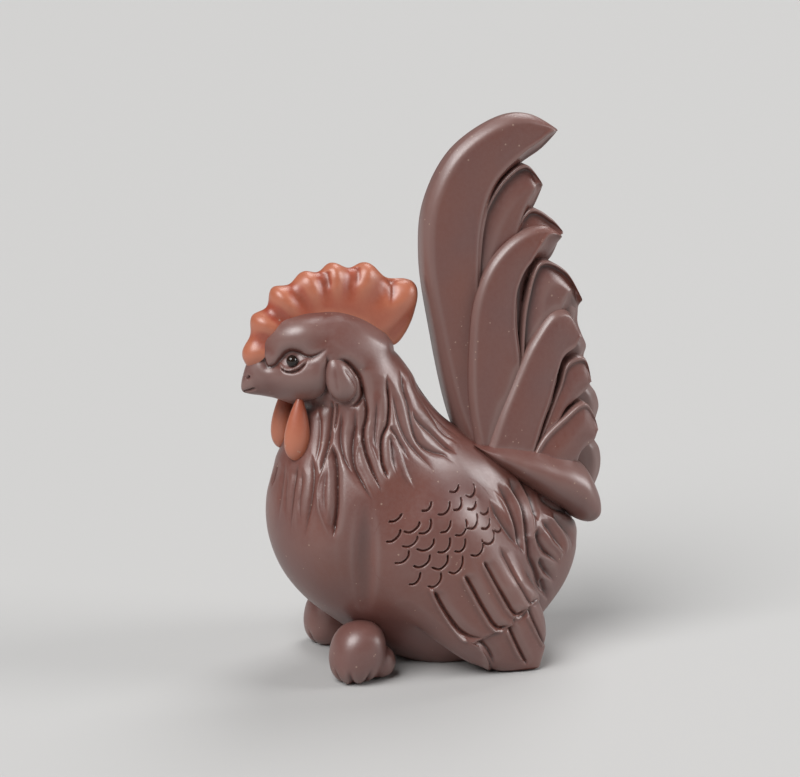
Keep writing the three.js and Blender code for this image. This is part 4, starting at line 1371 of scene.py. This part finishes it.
def scale_tree():
    """Presses one gouge cut into the clay along each line: steep inside, narrow outside."""
    sockets = {
        "Clay": "Geometry",
        "Cuts": "Object",
        "Depth": "Float",
        "Inner reach": "Float",
        "Outer reach": "Float",
        "Unevenness": "Float",
        "Seed": "Int",
        "Material": "Material",
    }
    nodes, given = new_tree("Scale cuts", sockets)
    lines = nodes.made("GeometryNodeObjectInfo", {"Object": given["Cuts"]}).outputs["Geometry"]
    here = nodes.add("GeometryNodeInputPosition").outputs[0]
    close = nodes.add("GeometryNodeProximity", target_element="EDGES")
    nodes.link(lines, close.inputs[0])
    nearest = nodes.made("GeometryNodeSampleNearest", {"Geometry": lines}).outputs["Index"]

    def sampled(name, kind):
        """What the nearest point of the lines keeps under a name."""
        value = nodes.made("GeometryNodeInputNamedAttribute", {"Name": name}, data_type=kind)
        taken = nodes.add("GeometryNodeSampleIndex", data_type=kind)
        nodes.link(lines, taken.inputs["Geometry"])
        nodes.link(value.outputs["Attribute"], taken.inputs["Value"])
        nodes.link(nearest, taken.inputs["Index"])
        return taken.outputs[0]

    away = nodes.vector("SUBTRACT", here, close.outputs["Position"]).outputs["Vector"]
    side = nodes.vector("DOT_PRODUCT", away, sampled("inward", "FLOAT_VECTOR")).outputs["Value"]
    inner = nodes.math("GREATER_THAN", side, 0.0)
    step = nodes.math("SUBTRACT", given["Inner reach"], given["Outer reach"])
    reach = nodes.math("ADD", given["Outer reach"], nodes.math("MULTIPLY", inner, step))
    fade = sampled("fade", "FLOAT")
    grown = nodes.math("MULTIPLY", fade, 1 - SCALE_END_REACH)
    reach = nodes.math("MULTIPLY", reach, nodes.math("ADD", SCALE_END_REACH, grown))
    share = nodes.math("DIVIDE", close.outputs["Distance"], reach)
    share = nodes.math("SUBTRACT", 1.0, share, clamp=True)
    uneven = nodes.add("FunctionNodeRandomValue", data_type="FLOAT")
    nodes.link(nodes.math("SUBTRACT", 1.0, given["Unevenness"]), uneven.inputs[2])
    nodes.link(nodes.math("ADD", 1.0, given["Unevenness"]), uneven.inputs[3])
    nodes.link(sampled("number", "FLOAT"), uneven.inputs["ID"])
    nodes.link(given["Seed"], uneven.inputs["Seed"])
    deep = nodes.math("MULTIPLY", nodes.math("MULTIPLY", given["Depth"], fade), uneven.outputs[1])
    slope = nodes.math("POWER", share, SCALE_STEEPNESS)
    sunk = nodes.math("MULTIPLY", nodes.math("MULTIPLY", deep, slope), -1.0)
    push = nodes.add("ShaderNodeVectorMath", operation="SCALE")
    nodes.link(nodes.add("GeometryNodeInputNormal").outputs[0], push.inputs[0])
    nodes.link(sunk, push.inputs["Scale"])
    moved = {"Geometry": given["Clay"], "Offset": push.outputs[0]}
    cut = nodes.made("GeometryNodeSetPosition", moved)
    return closed_tree(nodes, cut.outputs[0], given["Material"])


def drop_tree():
    """A drop of clay: a ball that narrows upwards, tilted and hung with its low point in place."""
    sockets = {
        "Length": "Float",
        "Width": "Float",
        "Thickness": "Float",
        "Taper": "Float",
        "Tilt": "Float",
        "Low point": "Vector",
        "Material": "Material",
    }
    nodes, given = new_tree("Drop of clay", sockets)
    round_ball = {"Segments": 72, "Rings": 36, "Radius": 0.5}
    ball = nodes.made("GeometryNodeMeshUVSphere", round_ball).outputs[0]
    spot = nodes.add("ShaderNodeSeparateXYZ")
    nodes.link(nodes.add("GeometryNodeInputPosition").outputs[0], spot.inputs[0])
    up = nodes.math("ADD", spot.outputs[2], 0.5)
    narrow = nodes.math("SUBTRACT", 1.0, nodes.math("MULTIPLY", up, given["Taper"]))
    place = nodes.add("ShaderNodeCombineXYZ")
    thick = nodes.math("MULTIPLY", given["Thickness"], narrow)
    wide = nodes.math("MULTIPLY", given["Width"], narrow)
    nodes.link(nodes.math("MULTIPLY", spot.outputs[0], thick), place.inputs[0])
    nodes.link(nodes.math("MULTIPLY", spot.outputs[1], wide), place.inputs[1])
    nodes.link(nodes.math("MULTIPLY", up, given["Length"]), place.inputs[2])
    moved = {"Geometry": ball, "Position": place.outputs[0]}
    drop = nodes.made("GeometryNodeSetPosition", moved).outputs[0]
    tilt = nodes.add("ShaderNodeCombineXYZ")
    nodes.link(given["Tilt"], tilt.inputs[0])
    hung = nodes.made(
        "GeometryNodeTransform",
        {"Geometry": drop, "Translation": given["Low point"], "Rotation": tilt.outputs[0]},
    )
    return closed_tree(nodes, hung.outputs[0], given["Material"])


def drop_piece(name, size, taper, tilt, low_point, material):
    """A drop of clay whose length, width and thickness are given in millimetres."""
    tree = bpy.data.node_groups.get("Drop of clay") or drop_tree()
    long, wide, thick = (value * MM for value in size)
    values = {
        "Length": long,
        "Width": wide,
        "Thickness": thick,
        "Taper": taper,
        "Tilt": math.radians(tilt),
        "Low point": [value * MM for value in low_point],
        "Material": material,
    }
    return outward(shaped(new_object(name, np.zeros((1, 3)), []), tree, values))


# Sizes and colours that a maker may change


def factor(name, note, value):
    """A share that the drawn depths are multiplied by."""
    return FloatProperty(
        name=name, description=note, default=value, min=0.0, max=2.0, subtype="FACTOR"
    )


def measure(name, note, value, low, high):
    """A length, given here in millimetres."""
    return FloatProperty(
        name=name,
        description=note,
        default=value * MM,
        min=low * MM,
        max=high * MM,
        precision=5,
        unit="LENGTH",
    )


def pigment(name, note, value):
    """A colour that the panel offers."""
    return FloatVectorProperty(
        name=name, description=note, default=value, size=3, min=0.0, max=1.0, subtype="COLOR"
    )


class RoosterSizes(bpy.types.PropertyGroup):
    """Sizes of the carving and of the eyes"""

    lock_depth: factor("Lock depth", "How deep the neck and saddle locks are cut", 1.0)
    quill_depth: factor("Quill depth", "How deep the long wing feathers are cut", 1.25)
    scale_depth: measure("Scale depth", "Depth of the gouge cut of a wing scale", 0.46, 0, 1)
    tier_step: measure("Tier step", "How much deeper the lower tier lies", TIER_STEP, 0, 2)
    eye_radius: measure("Eye radius", "Radius of an eye bead", 0.86, 0.5, 2)


class RoosterColours(bpy.types.PropertyGroup):
    """Colours of the clays, the glaze and the floor"""

    body: pigment("Body clay", "Burnished purple clay", (0.152, 0.046, 0.031))
    body_mottle: pigment("Body mottle", "Cooler patches of the body", (0.128, 0.048, 0.041))
    # Painted shade: this near-black colour darkens points that lie below their neighbours
    hollow: pigment("Body cuts", "Clay at the bottom of the cuts", (0.042, 0.014, 0.010))
    # Painted sheen: this colour lightens proud edges and ridges as a painted highlight, and tints the
    # grain
    grain_and_sheen: pigment("Body edges", "Polished edges and fine grain", (0.190, 0.105, 0.092))
    sand: pigment("Sand", "Pale grains in the clay", (0.42, 0.30, 0.23))
    comb: pigment("Comb clay", "Red clay of the comb and wattles", (0.30, 0.036, 0.011))
    comb_mottle: pigment("Comb mottle", "Paler patches of the comb", (0.34, 0.078, 0.034))
    # Painted shade: this darker red darkens the comb where it lies below its neighbours
    comb_painted_shade: pigment("Comb cuts", "Red clay between the lobes", (0.20, 0.036, 0.014))
    # Painted sheen: this paler red lightens the comb's proud edges as a painted highlight, and tints
    # its grain
    comb_grain_and_sheen: pigment("Comb edges", "Polished edges of the comb", (0.45, 0.145, 0.075))
    eye: pigment("Eye glaze", "Black glaze of the eyes", (0.006, 0.005, 0.004))
    eye_depth: pigment("Eye depth", "Brown depth of the eyes", (0.02, 0.008, 0.004))
    floor: pigment("Floor", "Colour of the floor", (0.46, 0.456, 0.45))


# Pieces


def rough_clay():
    """The left half of the body with its wing, before carving."""
    trunk = round_form(BODY, BODY_STATIONS, rings=150, around=110)
    head = round_form(HEAD, HEAD_STATIONS, rings=110, around=90)
    whole = outward(joined("rough", [trunk, head, wing_form(rings=90, around=60)]))
    remeshed(whole, BODY_GRAIN)
    relax(whole, rounds=4, weight=0.5)
    for half, rounds, line in BLENDS:
        points = points_of(whole)
        pixels = to_picture(points)
        distance, _, _ = nearest_on_path(pixels, spaced(line, 3))
        facing = ease(-0.1, 0.2, normals_of(whole) @ BACK)
        relax(whole, rounds, 0.6 * (1 - ease(0.35 * half, half, distance)) * facing)
    points = points_of(whole)
    points[:, 2] = np.maximum(points[:, 2], 0)
    set_points(whole, points)
    return left_half(whole)


def near_lines(obj, lines, reach):
    """Which points of a mesh are seen within reach of some lines, in pixels."""
    pixels = to_picture(points_of(obj))
    wanted = np.zeros(len(pixels), dtype=bool)
    for line in lines:
        path = spaced(line, 3)
        close = ((pixels > path.min(0) - reach) & (pixels < path.max(0) + reach)).all(1)
        index = np.flatnonzero(close)
        distance, _, _ = nearest_on_path(pixels[index], path)
        wanted[index[distance < reach]] = True
    return wanted


def carve(obj):
    """Sinks and raises the clay along its normals, and leaves its joint flat."""
    points = points_of(obj)
    normals = normals_of(obj)
    height = relief(points, normals, bpy.context.scene.rooster_sizes)
    middle = points[:, 0] < 1e-3
    normals[middle, 0] = 0
    set_points(obj, points + normals * height[:, None])


def scale_lines(body):
    """Lays the lines of the wing's scales on the clay, for the tree that cuts them."""
    points = points_of(body)
    pixels = to_picture(points)
    shown = np.flatnonzero((points[:, 0] > WING_SIDE) & inside(pixels, WING_OUTLINE))
    laid, steps, values = [], [], []
    for number, line in enumerate(SCALES):
        path = spaced(line, 0.8)
        chord = path[0] + (path[-1] - path[0]) * np.linspace(0, 1, len(path))[:, None]
        path = chord + SCALE_CURVE * (path - chord)
        spots = points[[shown[((pixels[shown] - spot) ** 2).sum(1).argmin()] for spot in path]]
        for _ in range(3):
            spots[1:-1] = (spots[:-2] + spots[1:-1] + spots[2:]) / 3
        place = np.linspace(0, 1, len(spots))
        fade = ease(-0.02, 0.07, place) * ease(-0.02, 0.1, 1 - place)
        inward = (spots[0] + spots[-1]) / 2 - spots
        start = len(steps) + number
        steps += [(start + k, start + k + 1) for k in range(len(spots) - 1)]
        laid.append(spots)
        values.append(np.column_stack([fade, np.full(len(spots), number), inward]))
    laid, values = np.vstack(laid), np.vstack(values)
    lines = new_object("scale_lines", laid, [], steps)
    store(lines, "fade", values[:, 0])
    store(lines, "number", values[:, 1])
    store(lines, "inward", values[:, 2:], "FLOAT_VECTOR", "vector")
    return lines


def fine_clay(body):
    """Gives the clay a finer grain where it will be carved."""
    lines = [cut[-1] for cut in HACKLES + SADDLE + FACE + QUILLS] + [TIER_EDGE]
    fine = near_lines(body, lines, LINE_REACH) | near_lines(body, SCALES, SCALE_REACH)
    refine(body, fine & (normals_of(body) @ BACK > -0.2) & (points_of(body)[:, 0] > -1))
    relax(body, 1, 0.5 * near_lines(body, lines + SCALES, CLOSE_REACH))
    refine(body, near_lines(body, SCALES, CLOSE_REACH) & (points_of(body)[:, 0] > WING_SIDE))
    relax(body, 2, 0.5 * near_lines(body, SCALES, LINE_REACH))


def press_scales(body, sizes):
    """Presses the gouge cuts of the scales into the wing."""
    lines = scale_lines(body)
    values = {
        "Cuts": lines,
        "Depth": sizes.scale_depth,
        "Inner reach": SCALE_INNER_REACH * MM,
        "Outer reach": SCALE_OUTER_REACH * MM,
        "Unevenness": SCALE_UNEVENNESS,
        "Seed": SCALE_SEED,
        "Material": clay("purple clay"),
    }
    shaped(body, scale_tree(), values)
    discard(lines)


def wing_seat():
    """The room that the wing takes up, from its outline down to the trunk under it."""
    seat = piece("seat", prism(WING_OUTLINE, *WING_CUT))
    trunk = round_form(BODY, BODY_STATIONS, rings=60, around=60, grow=-WING_SEAT_DEPTH)
    core = piece("core", trunk)
    combined(seat, core, "DIFFERENCE")
    discard(core)
    return seat


def parted(obj, room, name):
    """Cuts off what lies in a closed room, as a piece of its own."""
    off = combined(copy_of(obj, name), room, "INTERSECT")
    combined(obj, room, "DIFFERENCE")
    discard(room)
    return off


def hollow_out(body):
    """Takes the hollow between the wall and the neck out of the body, and its vent hole."""
    inner = round_form(BODY, BODY_STATIONS, rings=40, around=40, grow=-WALL)
    hollow = piece("hollow", inner)
    top = piece("top", block((-30, -60, HOLLOW_TOP), (30, 60, 90)))
    low = piece("low", block((-30, -60, -30), (30, 60, WALL)))
    for part in (top, low):
        combined(hollow, part, "DIFFERENCE")
    combined(body, hollow, "DIFFERENCE")
    turn = np.linspace(0, 2 * math.pi, 40, endpoint=False)
    x, y = VENT_RADIUS * np.cos(turn), VENT_Y + VENT_RADIUS * np.sin(turn)
    rings = [np.stack([x, y, np.full(len(turn), z)], 1) for z in (-2.0, WALL + 2.0)]
    vent = piece("vent", tube(rings))
    combined(body, vent, "DIFFERENCE")
    discard(hollow, top, low, vent)


def seat_cutter():
    """The trunk and the head as one closed form, for fitting pieces to the body."""
    trunk = round_form(BODY, BODY_STATIONS, rings=70, around=70, grow=-SEAT_DEPTH)
    head = round_form(HEAD, HEAD_STATIONS, rings=60, around=60, grow=-SEAT_DEPTH)
    cutter, head = piece("seat", trunk), piece("head", head)
    combined(cutter, head, "UNION")
    discard(head)
    return cutter


def cut_side(obj, cuts):
    """Cuts lines into the side of a piece that the view shows."""
    points, normals = points_of(obj), normals_of(obj)
    height = carved(to_picture(points), cuts) * ease(0, 0.4, normals @ BACK)
    set_points(obj, points + normals * (height * (points[:, 0] > 0))[:, None])


def finish_single(obj, node, slot, material):
    """Finishes a piece that there is one of."""
    shade_smooth(obj)
    obj.name = f"{node}_clay"
    finish_piece(obj, [node], material)


def finish_pair(obj, node, slot, material):
    """Finishes a left piece and makes its twin on the right."""
    shade_smooth(obj)
    twin = mirrored(obj, f"{node}_right_clay")
    obj.name = f"{node}_left_clay"
    finish_piece(obj, [f"{node}_left"], material)
    finish_piece(twin, [f"{node}_right"], material)


class ROOSTER_OT_body(bpy.types.Operator):
    """Carves the two halves of the body and the wings that are let into them"""

    bl_idname = "rooster.body"
    bl_label = "Body and wings"

    def execute(self, context):
        body = rough_clay()
        fine_clay(body)
        carve(body)
        press_scales(body, context.scene.rooster_sizes)
        store_relief(body)
        wing = parted(body, wing_seat(), "wing")
        primaries = parted(wing, piece("tips", prism(TIPS, *TIPS_CUT)), "primaries")
        hollow_out(body)
        finish_pair(body, "body_shell", "purple_clay", clay("purple clay"))
        finish_pair(wing, "wing_coverts", "purple_clay", clay("purple clay"))
        finish_pair(primaries, "wing_primaries", "purple_clay", clay("purple clay"))
        return {"FINISHED"}


def tail_forms():
    """Forms of the tail in the order in which they are laid, and whether each has a twin."""
    forms = []
    for name, feather in CENTRAL_FEATHERS.items():
        forms.append((name, feather_form(feather, TAIL["sickle"], True), False))
    forms.append(("tail_core", core_form(), False))
    forms.append(("base_feather", cushion_form(), True))
    for name, feather in SIDE_FEATHERS.items():
        forms.append((name, feather_form(feather, TAIL["fan"], False), True))
    return forms


class ROOSTER_OT_tail(bpy.types.Operator):
    """Lays up the tail from the middle outwards"""

    bl_idname = "rooster.tail"
    bl_label = "Tail feathers"

    def execute(self, context):
        seat = seat_cutter()
        laid = [(name, piece(name, form), paired) for name, form, paired in tail_forms()]
        whole = [copy_of(obj, "whole") for _, obj, _ in laid]
        for place, (_, obj, _) in enumerate(laid):
            combined(obj, seat, "DIFFERENCE")
            for before in whole[:place]:
                combined(obj, before, "DIFFERENCE")
        discard(seat, *whole)
        for name, obj, paired in laid:
            store_relief(obj)
            finish = finish_pair if paired else finish_single
            finish(obj, name, "purple_clay", clay("purple clay"))
        return {"FINISHED"}


class ROOSTER_OT_comb(bpy.types.Operator):
    """Models the comb and the two wattles in red clay"""

    bl_idname = "rooster.comb"
    bl_label = "Comb and wattles"

    def execute(self, context):
        seat = seat_cutter()
        comb = remeshed(piece("comb", comb_form()), COMB_GRAIN)
        relax(comb, rounds=14, weight=0.6)
        cut_side(comb, COMB_CUTS)
        wattle = drop_piece("wattle", *WATTLE, clay("red clay"))
        for obj in (comb, wattle):
            combined(obj, seat, "DIFFERENCE")
            store_relief(obj)
        discard(seat)
        finish_single(comb, "comb", "red_clay", clay("red clay"))
        finish_pair(wattle, "wattle", "red_clay", clay("red clay"))
        return {"FINISHED"}


class ROOSTER_OT_face(bpy.types.Operator):
    """Sets the ear lobes and the glazed eye beads"""

    bl_idname = "rooster.face"
    bl_label = "Ear lobes and eyes"

    def execute(self, context):
        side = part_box("ear_lobe_left")[1][0] / MM
        low_point = (side - LOBE_INSET, *LOBE_LOW)
        lobe = drop_piece("lobe", LOBE_SIZE, LOBE_TAPER, LOBE_TILT, low_point, clay("purple clay"))
        cut_side(lobe, LOBE_CUTS)
        store_relief(lobe)
        finish_pair(lobe, "ear_lobe", "purple_clay", clay("purple clay"))
        tones = context.scene.rooster_colours
        black = glaze("black glaze", tones.eye[:], tones.eye_depth[:])
        radius = context.scene.rooster_sizes.eye_radius / MM
        x, y, z = EYE_CENTRE
        bead = drop_piece("bead", (2 * radius,) * 3, 0, 0, (x, y, z - radius), black)
        store_relief(bead)
        finish_pair(bead, "eye", "black_glaze", black)
        return {"FINISHED"}


def foot_ball(x, y):
    """The ball of a foot: squarer than a ball, with its top leaning back."""
    ball = drop_piece("foot", FOOT_SIZE, 0, 0, (x, y, -FOOT_SINK), clay("purple clay"))
    middle = (x, y, FOOT_SIZE[0] / 2 - FOOT_SINK)
    away = points_of(ball) - middle
    part = np.abs(away) / (np.array(FOOT_SIZE)[::-1] / 2)
    span = np.maximum((part**FOOT_SQUARENESS).sum(1), 1e-6)
    away /= span[:, None] ** (1 / FOOT_SQUARENESS)
    away[:, 1] += FOOT_LEAN * away[:, 2]
    set_points(ball, away + middle)
    return ball


def part_toes(foot, x, y, side):
    """Cuts the grooves between the toes, and flattens the sole."""
    points = points_of(foot)
    out = points[:, :2] - (x, y)
    turn = np.degrees(np.arctan2(side * out[:, 0], -out[:, 1]))
    low = 1 - ease(*TOE_FADE, points[:, 2])
    for toe in TOE_TURNS:
        apart = np.radians(np.abs(turn - toe)) * np.linalg.norm(out, axis=1)
        groove = TOE_DEPTH * low * np.clip(1 - apart / TOE_HALF, 0, 1) ** TOE_STEEPNESS
        points -= normals_of(foot) * groove[:, None]
    points[:, 2] = np.maximum(points[:, 2], 0)
    set_points(foot, points)


class ROOSTER_OT_feet(bpy.types.Operator):
    """Models the two feet and parts their toes"""

    bl_idname = "rooster.feet"
    bl_label = "Feet"

    def execute(self, context):
        seat = seat_cutter()
        for side, node in ((1, "foot_left"), (-1, "foot_right")):
            x, y = side * FOOT_X, FOOT_Y - side * FOOT_STAGGER
            foot = foot_ball(x, y)
            heel = drop_piece("heel", HEEL_SIZE, 0, 0, (x, y + HEEL_BEHIND, 0), clay("purple clay"))
            combined(foot, heel, "UNION")
            discard(heel)
            remeshed(foot, FOOT_GRAIN)
            relax(foot, rounds=30, weight=0.6)
            part_toes(foot, x, y, side)
            combined(foot, seat, "DIFFERENCE")
            store_relief(foot)
            finish_single(foot, node, "purple_clay", clay("purple clay"))
        discard(seat)
        return {"FINISHED"}


def lay_floor(colour):
    """A wide plain floor under the rooster."""
    reach = FLOOR_REACH
    corners = [(-reach, -reach, 0), (reach, -reach, 0), (reach, reach, 0), (-reach, reach, 0)]
    floor = new_object("floor", corners, [(0, 1, 2, 3)])
    material, _, shader, _ = new_finish("floor")
    shader.inputs["Base Color"].default_value = (*colour, 1)
    shader.inputs["Roughness"].default_value = FLOOR_ROUGHNESS
    floor.data.materials.append(material)


def light_air(scene):
    """Soft light from all round, brighter where it is looked at."""
    world = bpy.data.worlds.new("studio")
    scene.world = world
    world.use_nodes = True
    nodes = Nodes(world.node_tree)
    around = world.node_tree.nodes["Background"].inputs
    around["Color"].default_value = AIR_COLOUR
    seen = nodes.add("ShaderNodeLightPath").outputs["Is Camera Ray"]
    lift = nodes.math("MULTIPLY", seen, BACKDROP_LEVEL - AIR_LEVEL)
    nodes.link(nodes.math("ADD", lift, AIR_LEVEL), around["Strength"])


def aimed(direction):
    """Turn of a lamp or a camera that looks in a direction."""
    return Vector(direction).to_track_quat("-Z", "Y").to_euler()


def hang_lamps(scene):
    """The soft lights of a small studio."""
    for name, place, spread, power in LAMPS:
        lamp = bpy.data.lights.new(name, "SUN")
        lamp.angle = math.radians(spread)
        lamp.energy = power
        obj = bpy.data.objects.new(name, lamp)
        scene.collection.objects.link(obj)
        away = sum(np.array(way) * part for way, part in zip((RIGHT, UP, BACK), place))
        obj.location = AIM * MM + away
        obj.rotation_euler = aimed(-away)


def set_camera(scene):
    """The camera of the view that the carving is drawn in."""
    lens = bpy.data.cameras.new("camera")
    lens.sensor_width = SENSOR_WIDTH
    lens.sensor_fit = "HORIZONTAL"
    lens.lens = SENSOR_WIDTH * FOCUS / PHOTO_WIDTH
    lens.clip_start = 0.01
    camera = bpy.data.objects.new("camera", lens)
    scene.collection.objects.link(camera)
    camera.location = EYE_POINT * MM
    camera.rotation_euler = aimed(-BACK)
    scene.camera = camera
    scene.view_settings.view_transform = "Standard"


class ROOSTER_OT_stage(bpy.types.Operator):
    """Lays the floor and sets the lights and the camera"""

    bl_idname = "rooster.stage"
    bl_label = "Stage"

    def execute(self, context):
        scene = context.scene
        lay_floor(scene.rooster_colours.floor[:])
        light_air(scene)
        hang_lamps(scene)
        set_camera(scene)
        return {"FINISHED"}


class ROOSTER_PT_panel(bpy.types.Panel):
    """Shows the sizes, the colours and the steps that make the rooster"""

    bl_idname = "ROOSTER_PT_panel"
    bl_label = "Clay rooster"
    bl_space_type = "VIEW_3D"
    bl_region_type = "UI"
    bl_category = "Rooster"

    def draw(self, context):
        for group in (context.scene.rooster_sizes, context.scene.rooster_colours):
            for name in group.bl_rna.properties.keys():
                if name not in ("rna_type", "name"):
                    self.layout.prop(group, name)
        for step in STEPS:
            self.layout.operator(step.bl_idname)


STEPS = (
    ROOSTER_OT_body,
    ROOSTER_OT_tail,
    ROOSTER_OT_comb,
    ROOSTER_OT_face,
    ROOSTER_OT_feet,
    ROOSTER_OT_stage,
)
CLASSES = (RoosterSizes, RoosterColours, *STEPS, ROOSTER_PT_panel)


def register():
    for kind in CLASSES:
        bpy.utils.register_class(kind)
    bpy.types.Scene.rooster_sizes = PointerProperty(type=RoosterSizes)
    bpy.types.Scene.rooster_colours = PointerProperty(type=RoosterColours)


def unregister():
    del bpy.types.Scene.rooster_colours
    del bpy.types.Scene.rooster_sizes
    for kind in reversed(CLASSES):
        bpy.utils.unregister_class(kind)


def main():
    register()
    for step in STEPS:
        group, name = step.bl_idname.split(".")
        getattr(getattr(bpy.ops, group), name)()


if __name__ == "__main__":
    main()
